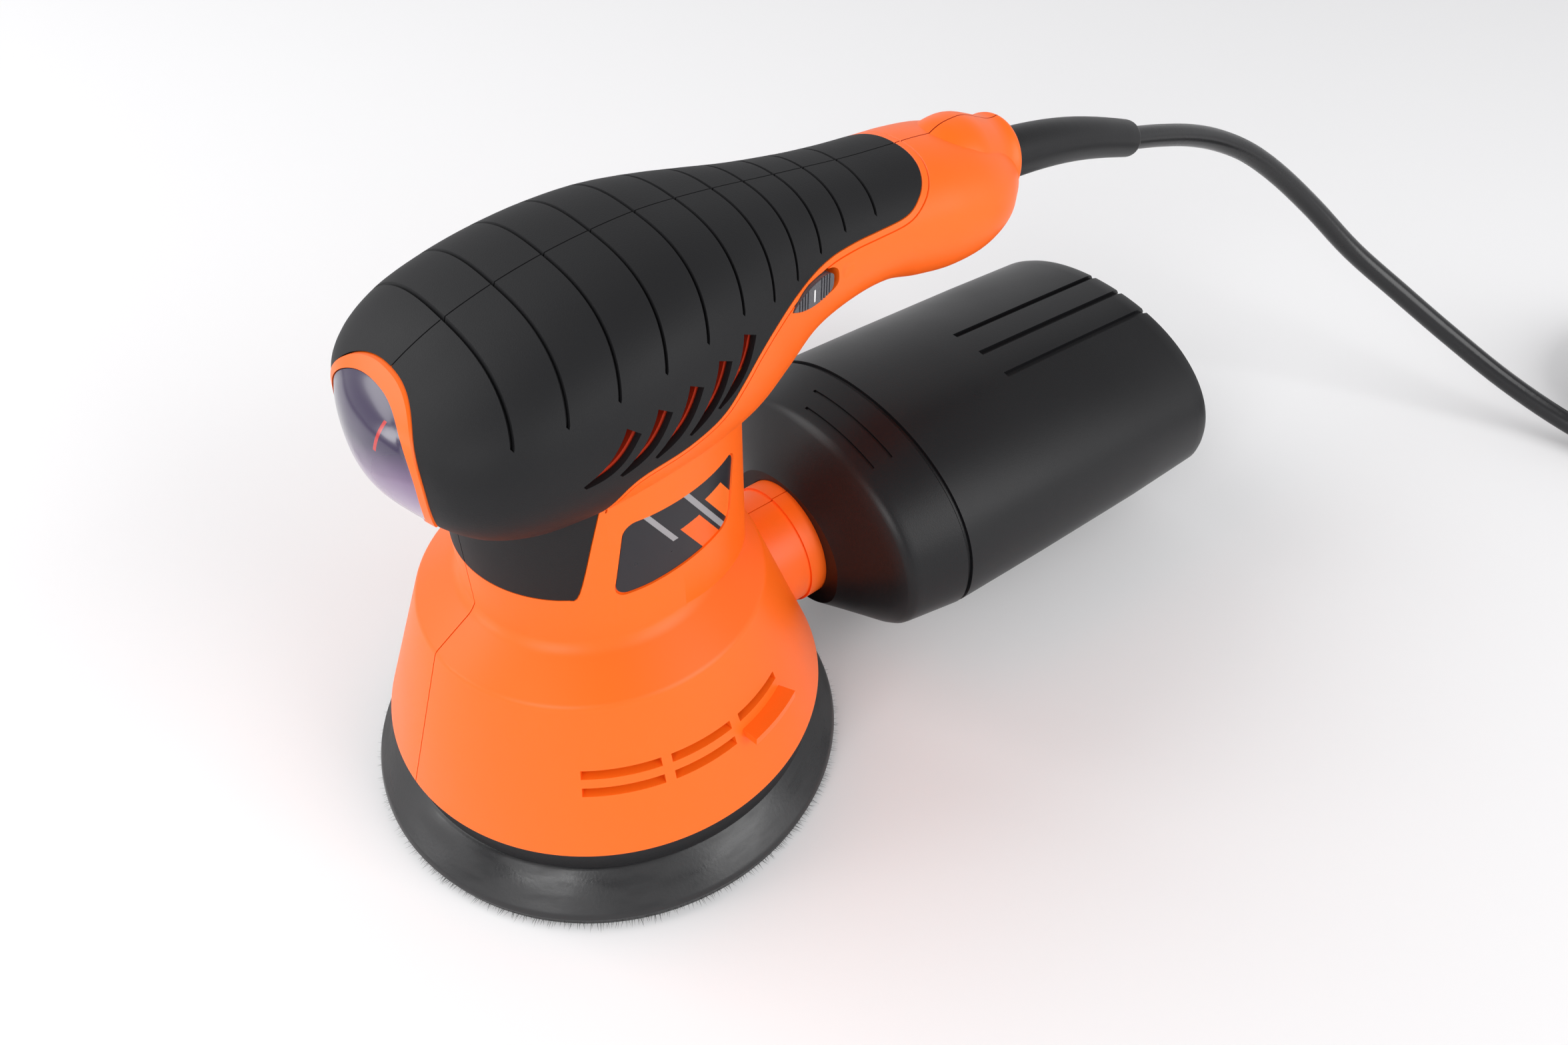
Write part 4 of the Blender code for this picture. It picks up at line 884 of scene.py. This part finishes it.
class SANDER_OT_cord(bpy.types.Operator):
    """Mains cord with its coil and its guard"""

    bl_idname = "sander.cord"
    bl_label = "Cord"

    def execute(self, context):
        points = smooth_line(CORD_ROUTE, 5)
        pitch = context.scene.sander_sizes.cord_turns
        layers = ((0, 0.0), (1, 0.0), (2, 0.0), (0.5, 1.0), (1.5, 1.0), (0, 2.0), (1, 2.0), (2, 2.0))
        base = COIL_DIAMETER / 2 + pitch
        start_angle = math.atan2(points[-1].y - COIL_CENTRE.y, points[-1].x - COIL_CENTRE.x)
        start_radius = (points[-1] - COIL_CENTRE).xy.length
        spent = sum((b - a).length for a, b in zip(points, points[1:]))
        plug_lead = 45.0
        angle, turn, step = start_angle, 0.0, TURN / 20
        rise = pitch * 0.87
        while spent < CORD_LENGTH - plug_lead:
            turn += 1 / 20
            angle += step
            k = min(int(turn), len(layers) - 1)
            t = min(max((turn - k - 0.7) / 0.3, 0.0), 1.0)
            now, after = layers[k], layers[min(k + 1, len(layers) - 1)]
            t = t * t * (3 - 2 * t)
            across = now[0] * (1 - t) + after[0] * t
            level = now[1] * (1 - t) + after[1] * t
            radius = base - across * pitch
            if turn < 0.5:
                share = turn / 0.5
                share = share * share * (3 - 2 * share)
                radius = start_radius * (1 - share) + radius * share
            z = 3.45 + level * rise
            spot = COIL_CENTRE + Vector((radius * math.cos(angle), radius * math.sin(angle), z))
            spent += (spot - points[-1]).length
            points.append(spot)
        curve = bpy.data.curves.new("mains_cord", "CURVE")
        curve.dimensions = "3D"
        spline = curve.splines.new("POLY")
        spline.points.add(len(points) - 1)
        for target, point in zip(spline.points, points):
            target.co = (point.x * MM, point.y * MM, point.z * MM, 1.0)
        curve.bevel_depth = CORD_DIAMETER / 2 * MM
        curve.bevel_resolution = 5
        curve.use_fill_caps = True
        cord = bpy.data.objects.new("mains_cord", curve)
        context.scene.collection.objects.link(cord)
        coat(cord, "cord")
        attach(cord, "body")
        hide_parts("cord", "cord_coil")
        guard = self.guard()
        return {"FINISHED"}

    def guard(self):
        axis = guard_axis()
        length = (GUARD_END - GUARD_START).length
        profile = [(3.0, -15.0), (5.2, -15.0), (6.5, -1.0), (6.6, 4.0)]
        for i in range(1, 12):
            share = i / 12
            profile.append((6.6 + (5.3 - 6.6) * share, 4.0 + (length - 6.0) * share))
        profile += [(5.25, length - 1.2, 0.8), (4.5, length, 0.7), (3.3, length + 0.1)]
        guard = turned(rounded(profile, 0.4, 3), "cord_guard_sleeve", 64, GUARD_START, axis, ring=False)
        for v in guard.data.vertices:
            share = min(max((v.co.y / MM - GUARD_START.y) / (GUARD_END.y - GUARD_START.y), 0.0), 1.0)
            v.co.z += 2.4 * MM * math.sin(math.pi * share)
        coat(settle(guard), "guard")
        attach(guard, "body")
        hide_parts("cord_guard")
        return guard


class SANDER_OT_housing(bpy.types.Operator):
    """The two orange shells and the rubber grip over them"""

    bl_idname = "sander.housing"
    bl_label = "Housing and grip"

    def execute(self, context):
        outer = upper_body(0.0, "outer", 0.9, 120)
        seat = upper_body(1.9, "seat")
        hollow = upper_body(4.2, "hollow", 3.0, 48)
        grip = join(head(0.0, "grip", 0.9, 132), neck(0.0, "grip_neck"))
        combine(grip, grip_region(0.0, "region"), "INTERSECT")
        cut(grip, upper_body(1.6, "under"), grip_grooves())
        cut(grip, window(BEZEL_WIDTH + SEAT, "window"))
        shell = join(outer, skirt_outside(), spout(SPOUT_RADIUS, "spout"), collar())
        cut(shell, cut(grip_region(SEAT, "cover"), seat))
        join(hollow, skirt_inside(), spout(SPOUT_RADIUS - 2.2, "bore", end=SPOUT_END + 5.0))
        cut(shell, hollow)
        cut(shell, window(BEZEL_WIDTH + SEAT, "window"), lip_line())
        bore = GUARD_START - guard_axis() * 20.0
        cut(shell, rod(6.9, bore, GUARD_START + guard_axis() * 8.0, "cord_bore"))
        halves = (
            ("left", -1, ((-FAR, -FAR, -FAR), (-HALF_SPLIT, FAR, FAR))),
            ("right", 1, ((HALF_SPLIT, -FAR, -FAR), (FAR, FAR, FAR))),
        )
        for side, sign, half in halves:
            part = combine(copy_of(shell, f"shell_{side}"), block(*half, "half"), "INTERSECT")
            cover = combine(copy_of(grip, f"grip_cover_{side}"), block(*half, "half"), "INTERSECT")
            for i, ends in enumerate(VENTS):
                cut(cover, vent(*ends, sign, 0.25, f"vent_{i}"))
                cut(part, vent(*ends, sign, -0.35, f"vent_{i}"))
            for row, height in enumerate(SKIRT_ROWS):
                for i, (start, end) in enumerate(SKIRT_SLOTS):
                    ends = (start, end) if sign > 0 else (180.0 - end, 180.0 - start)
                    cut(part, skirt_slot(*ends, height, f"slot_{row}_{i}"))
            if sign > 0:
                cut(part, switch_opening(0.3, 1.9, "switch_opening", 9.0, 12.0), self.scoop())
            cut(part, panel(-0.6, 3.0, 0.0, sign, "label_field"))
            coat(settle(part, 32.0), "housing")
            self.paint_inside_shade(part)
            coat(settle(cover, 32.0), "grip")
            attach(part, "body")
            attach(cover, "body")
            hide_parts(f"housing_{side}")
            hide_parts(f"grip_{side}")
        bpy.data.objects.remove(shell, do_unlink=True)
        bpy.data.objects.remove(grip, do_unlink=True)
        return {"FINISHED"}

    def scoop(self):
        """The finger dish behind the switch."""
        steps = [math.pi * i / 24 for i in range(1, 24)]
        profile = [(8.0 * math.sin(a), -8.0 * math.cos(a)) for a in steps]
        return turned(profile, "scoop", 64, (29.0, 63.0, 135.4), ring=False)

    def paint_inside_shade(self, part):
        """Paints shade on the shell's faces that lie under the rubber and show through the vents, darkening
        them with the darker red inside finish.
        """
        part.data.materials.append(bpy.data.materials[bpy.context.scene["sander_finishes"]["inside"]])
        edge = np.array(GRIP_EDGE[4:-1])
        for face in part.data.polygons:
            _, y, z = face.center * 1000
            if edge[0, 0] - 14.0 < y < edge[-1, 0] and z > np.interp(y, edge[:, 0], edge[:, 1]) + 0.4:
                face.material_index = 1


class SANDER_OT_nose(bpy.types.Operator):
    """The smoked nose window and its rim"""

    bl_idname = "sander.nose"
    bl_label = "Nose window"

    def execute(self, context):
        rim = combine(window(BEZEL_WIDTH, "nose_rim", end=-33.0), head(-0.25, "face", 0.7, 120), "INTERSECT")
        cut(rim, window(0.2, "opening", end=-30.0))
        coat(settle(rim, 32.0), "housing")
        lens = combine(window(0.0, "nose_window", end=-33.0), head(-0.1, "face", 0.5, 120), "INTERSECT")
        lens.name = "nose_window"
        for v in lens.data.vertices:
            across = (v.co.x / MM / WINDOW_HALF_WIDTH) ** 2
            height = ((v.co.z / MM - WINDOW_HEIGHT) / WINDOW_HALF_HEIGHT) ** 2
            if v.co.y < -0.0335:
                v.co.y -= 1.3 * MM * max(1.0 - across - height, 0.0)
        coat(settle(lens, 32.0), "lens")
        for piece, node, slot in ((rim, "nose_bezel", "orange_plastic"), (lens, "nose_lens", "smoked_lens")):
            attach(piece, "body")
            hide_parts(node)
        return {"FINISHED"}


class SANDER_OT_switch(bpy.types.Operator):
    """The ribbed slide switch and its on mark"""

    bl_idname = "sander.switch"
    bl_label = "Switch"

    def execute(self, context):
        slider = switch_opening(0.0, 0.0, "switch_button", 3.0, 0.35)
        along, up, out = switch_axes()
        turn = Matrix((along, up, out)).transposed().to_4x4()
        face = out * 0.35
        for side in (-1, 1):
            for i in range(context.scene.sander_sizes.slider_ribs):
                at = SWITCH_MIDDLE + along * side * (2.6 + i * 1.05) + face
                groove = block((-0.24, -3.5, -0.28), (0.24, 3.5, 0.4), "groove")
                groove.data.transform(Matrix.Translation(at * MM) @ turn)
                cut(slider, groove)
        mark = block((-0.24, -1.5, -0.2), (0.24, 1.5, 0.06), "switch_mark")
        mark.data.transform(Matrix.Translation((SWITCH_MIDDLE + face) * MM) @ turn)
        coat(settle(slider), "slider")
        coat(settle(mark), "mark")
        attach(slider, "switch")
        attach(mark, "switch")
        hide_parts("switch_slider")
        return {"FINISHED"}


class SANDER_OT_label(bpy.types.Operator):
    """Plain label films on the neck's flanks"""

    bl_idname = "sander.label"
    bl_label = "Labels"

    def execute(self, context):
        for sign, side in ((1, "right"), (-1, "left")):
            film = panel(-0.9, -0.35, 0.3, sign, f"label_{side}")
            coat(settle(film, 30.0), "label")
            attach(film, "body")
        return {"FINISHED"}


class SANDER_OT_pad(bpy.types.Operator):
    """Backing pad, hook layer with its fringe, and the brake ring above"""

    bl_idname = "sander.pad"
    bl_label = "Pad"

    def execute(self, context):
        centre = Vector((0.0, -ORBIT, 0.0))
        profile = [
            (PAD_RADIUS - 12.0, 2.1),
            (PAD_RADIUS - 0.6, 2.1, 0.3),
            (PAD_RADIUS, 3.2, 0.4),
            (PAD_RADIUS - 0.5, 4.6, 0.6),
            (PAD_RADIUS - 8.4, PAD_TOP - 0.5, 1.0),
            (PAD_RADIUS - 10.0, PAD_TOP, 0.6),
            (PAD_RADIUS - 20.0, PAD_TOP),
        ]
        pad = turned(rounded(profile, 0.6, 5), "sanding_pad", 192, centre, ring=False)
        profile = (
            (PAD_RADIUS - 12.0, 0.0),
            (PAD_RADIUS - 1.0, 0.0, 0.5),
            (PAD_RADIUS - 0.7, 1.8, 0.4),
            (PAD_RADIUS - 12.0, 1.8),
        )
        hook = turned(rounded(profile, 0.5, 3), "hook_face", 192, centre, ring=False)
        for i in range(8):
            angle = TURN * (i + 0.5) / 8
            spot = centre + Vector((32.5 * math.cos(angle), 32.5 * math.sin(angle), -5.0))
            for piece in (pad, hook):
                cut(piece, rod(4.5, spot, spot + Vector((0.0, 0.0, 30.0)), "dust_hole", 40))
        for i in range(4):
            angle = TURN * (i + 0.5) / 4
            spot = centre + Vector((12.5 * math.cos(angle), 12.5 * math.sin(angle), -5.0))
            cut(hook, rod(4.1, spot, spot + Vector((0.0, 0.0, 12.0)), "access", 40))
            cut(pad, rod(4.1, spot, spot + Vector((0.0, 0.0, 13.8)), "recess", 40))
            cut(pad, rod(2.3, spot, spot + Vector((0.0, 0.0, 30.0)), "shank", 24))
        self.fringe(hook, context.scene.sander_sizes.fringe)
        inner = RIM_RADIUS - 7.1
        lip = 52.0
        profile = (
            (inner, 20.0),
            (inner, 14.1),
            (RIM_RADIUS - 1.9, 14.1, 0.5),
            (RIM_RADIUS - 1.5, 21.7, 0.3),
            (lip, 21.8),
            (lip, 26.5),
            (inner, 26.5),
            (inner, 21.0),
        )
        ring = turned(rounded(profile, 0.3, 3), "pad_brake_ring", 192)
        wide = SPOUT_RADIUS + 1.0
        cut(ring, block((-wide, 0.0, RIM_HEIGHT - GAP), (wide, FAR, FAR), "duct"))
        table = (
            (pad, "pad", "backing_pad", "pad", "pad_rubber"),
            (hook, "pad", "hook_layer", "hook", "hook_fabric"),
            (ring, "body", "brake_ring", "seal", "black_rubber"),
        )
        for piece, body, node, look, slot in table:
            coat(settle(piece, 30.0), look)
            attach(piece, body)
            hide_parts(node)
        return {"FINISHED"}

    def fringe(self, hook, count):
        """Short fibres that stand out all round the hook layer's edge."""
        rng = np.random.default_rng(5)
        bm = bmesh.new()
        bm.from_mesh(hook.data)
        for i in range(count):
            angle = TURN * (i + rng.uniform(-0.4, 0.4)) / count
            out = Vector((math.cos(angle), math.sin(angle), 0.0))
            side = Vector((-out.y, out.x, 0.0))
            base = Vector((0.0, -ORBIT, rng.uniform(0.5, 1.5))) + out * (PAD_RADIUS - 1.6)
            tip = base + out * rng.uniform(1.4, 3.4) + side * rng.uniform(-0.9, 0.9)
            tip.z = min(max(base.z + rng.uniform(-0.7, 0.7), 0.15), 2.0)
            half = rng.uniform(0.06, 0.12)
            up = Vector((0.0, 0.0, half))
            corners = [base - side * half, base + side * half, base + up]
            made = [bm.verts.new(p * MM) for p in corners] + [bm.verts.new(tip * MM)]
            for a, b, c in ((0, 2, 1), (0, 1, 3), (1, 2, 3), (2, 0, 3)):
                bm.faces.new((made[a], made[b], made[c]))
        bm.to_mesh(hook.data)
        bm.free()


CAP_STATIONS = (
    (61.6, 22.5, 53.6, 35.0, 16.6),
    (63.0, 24.6, 55.4, 35.4, 15.8),
    (70.0, 41.2, 67.6, 37.0, 15.1),
    (71.2, 42.8, 69.0, 37.1, 15.0),
    (72.4, 43.3, 69.5, 37.2, 15.0),
    (86.9, 46.9, 73.3, 38.5, 14.8),
    (87.2, 46.7, 73.1, 38.5, 15.0),
)
CAN_STATIONS = (
    (87.7, 46.0, 72.4, 38.5, 15.6),
    (88.4, 46.1, 72.5, 38.5, 15.5),
    (88.5, 47.0, 73.4, 38.5, 14.8),
    (120.0, 47.2, 71.4, 37.0, 13.7),
    (160.0, 47.2, 68.4, 35.6, 12.4),
    (187.4, 46.6, 66.2, 34.8, 11.8),
    (189.2, 46.0, 65.6, 34.8, 12.3),
    (190.0, 44.8, 64.4, 34.8, 13.4),
)
CAN_GROOVES = (-5.3, 5.2, 15.5)
CAP_GROOVES = ((80.5, -11.3, 20.8), (74.9, -8.0, 20.0))


def box_shape(stations, inset, name, step, front=0.0, rear=0.0, count=140):
    """A dust box piece: straight runs between its stations."""
    rings = []
    given = np.array(stations)
    first, last = given[0, 0], given[-1, 0]
    for a, b in zip(given, given[1:]):
        parts = max(int((b[0] - a[0]) / step), 1)
        for i in range(parts):
            rings.append(a + (b - a) * i / parts)
    rings.append(given[-1])
    made = []
    for ring in rings:
        share = (ring[0] - first) / (last - first)
        y = ring[0] + front * (1 - share) + rear * share
        made.append(section((y, *ring[1:]), inset, count, (2.1, 2.5)))
    return solid(made, name)


class SANDER_OT_dust_box(bpy.types.Operator):
    """Dust box cap and body"""

    bl_idname = "sander.dust_box"
    bl_label = "Dust box"

    def execute(self, context):
        cap = box_shape(CAP_STATIONS, 0.0, "dust_cap", 1.6)
        cut(cap, box_shape(CAP_STATIONS, 2.0, "cap_hollow", 4.0, 2.4, 1.5, 64))
        cut(cap, rod(SPOUT_RADIUS + SEAT, (0.0, 50.0, SPOUT_HEIGHT), (0.0, 84.0, SPOUT_HEIGHT), "hole", 96))
        slabs = [
            block((low, y - 0.4, 50.0), (high, y + 0.4, FAR), f"groove_{i}")
            for i, (y, low, high) in enumerate(CAP_GROOVES)
        ]
        layer = surface_layer(lambda inset, part: box_shape(CAP_STATIONS, inset, part, 4.0), 0.6, "cap_layer")
        cut(cap, combine(bundle(slabs, "grooves"), layer, "INTERSECT"))
        can = box_shape(CAN_STATIONS, 0.0, "dust_can_shell", 3.0)
        cut(can, box_shape(CAN_STATIONS, 2.0, "can_hollow", 6.0, -1.5, -2.4, 64))
        slabs = [
            block((x - 0.95, 128.5, 50.0), (x + 0.95, FAR, FAR), f"groove_{i}")
            for i, x in enumerate(CAN_GROOVES)
        ]
        layer = surface_layer(lambda inset, part: box_shape(CAN_STATIONS, inset, part, 6.0), 1.1, "can_layer")
        cut(can, combine(bundle(slabs, "grooves"), layer, "INTERSECT"))
        for piece, body, node in ((cap, "dust_box", "dust_box_cap"), (can, "dust_can", "dust_box_body")):
            coat(settle(piece, 32.0), "box")
            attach(piece, body)
            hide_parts(node)
        return {"FINISHED"}


class SANDER_OT_inner_parts(bpy.types.Operator):
    """Finishes of the motor, drive, fixings and plug"""

    bl_idname = "sander.inner_parts"
    bl_label = "Inner parts"

    def execute(self, context):
        slots = {item["node"]: item["material_slot"] for item in frame["record"]["subparts"]}
        looks = {
            "orange_plastic": "housing",
            "black_rubber": "seal",
            "black_plastic": "plastic",
            "dark_grey_plastic": "slider",
            "smoked_lens": "lens",
            "pad_rubber": "pad",
            "hook_fabric": "hook",
            "filter_paper": "paper",
            "cast_zinc": "zinc",
            "cast_aluminium": "aluminium",
            "lamination_steel": "lamination",
            "copper": "copper",
            "brass": "brass",
            "carbon": "carbon",
            "capacitor_can": "capacitor",
            "cord_sheath": "cord",
            "steel": "steel",
        }
        for name, node in frame["nodes"].items():
            coat(node, looks[slots[name]])
        return {"FINISHED"}


class SANDER_PT_panel(bpy.types.Panel):
    """Lists the sander's building steps"""

    bl_idname = "SANDER_PT_panel"
    bl_label = "Sander"
    bl_space_type = "VIEW_3D"
    bl_region_type = "UI"
    bl_category = "Sander"

    def draw(self, context):
        for name in ("slider_ribs", "cord_turns", "fringe"):
            self.layout.prop(context.scene.sander_sizes, name)
        for name in ("housing", "grip", "plastic", "floor"):
            self.layout.prop(context.scene.sander_colours, name)
        for step in STEPS:
            self.layout.operator(step.bl_idname)


STEPS = (
    SANDER_OT_stage,
    SANDER_OT_inner_parts,
    SANDER_OT_cord,
    SANDER_OT_housing,
    SANDER_OT_nose,
    SANDER_OT_switch,
    SANDER_OT_label,
    SANDER_OT_pad,
    SANDER_OT_dust_box,
)
CLASSES = (SanderSizes, SanderColours, *STEPS, SANDER_PT_panel)


def register():
    for made in CLASSES:
        bpy.utils.register_class(made)
    bpy.types.Scene.sander_sizes = PointerProperty(type=SanderSizes)
    bpy.types.Scene.sander_colours = PointerProperty(type=SanderColours)


def unregister():
    del bpy.types.Scene.sander_colours
    del bpy.types.Scene.sander_sizes
    for made in reversed(CLASSES):
        bpy.utils.unregister_class(made)


def main():
    register()
    for step in STEPS:
        group, name = step.bl_idname.split(".")
        getattr(getattr(bpy.ops, group), name)()


if __name__ == "__main__":
    main()
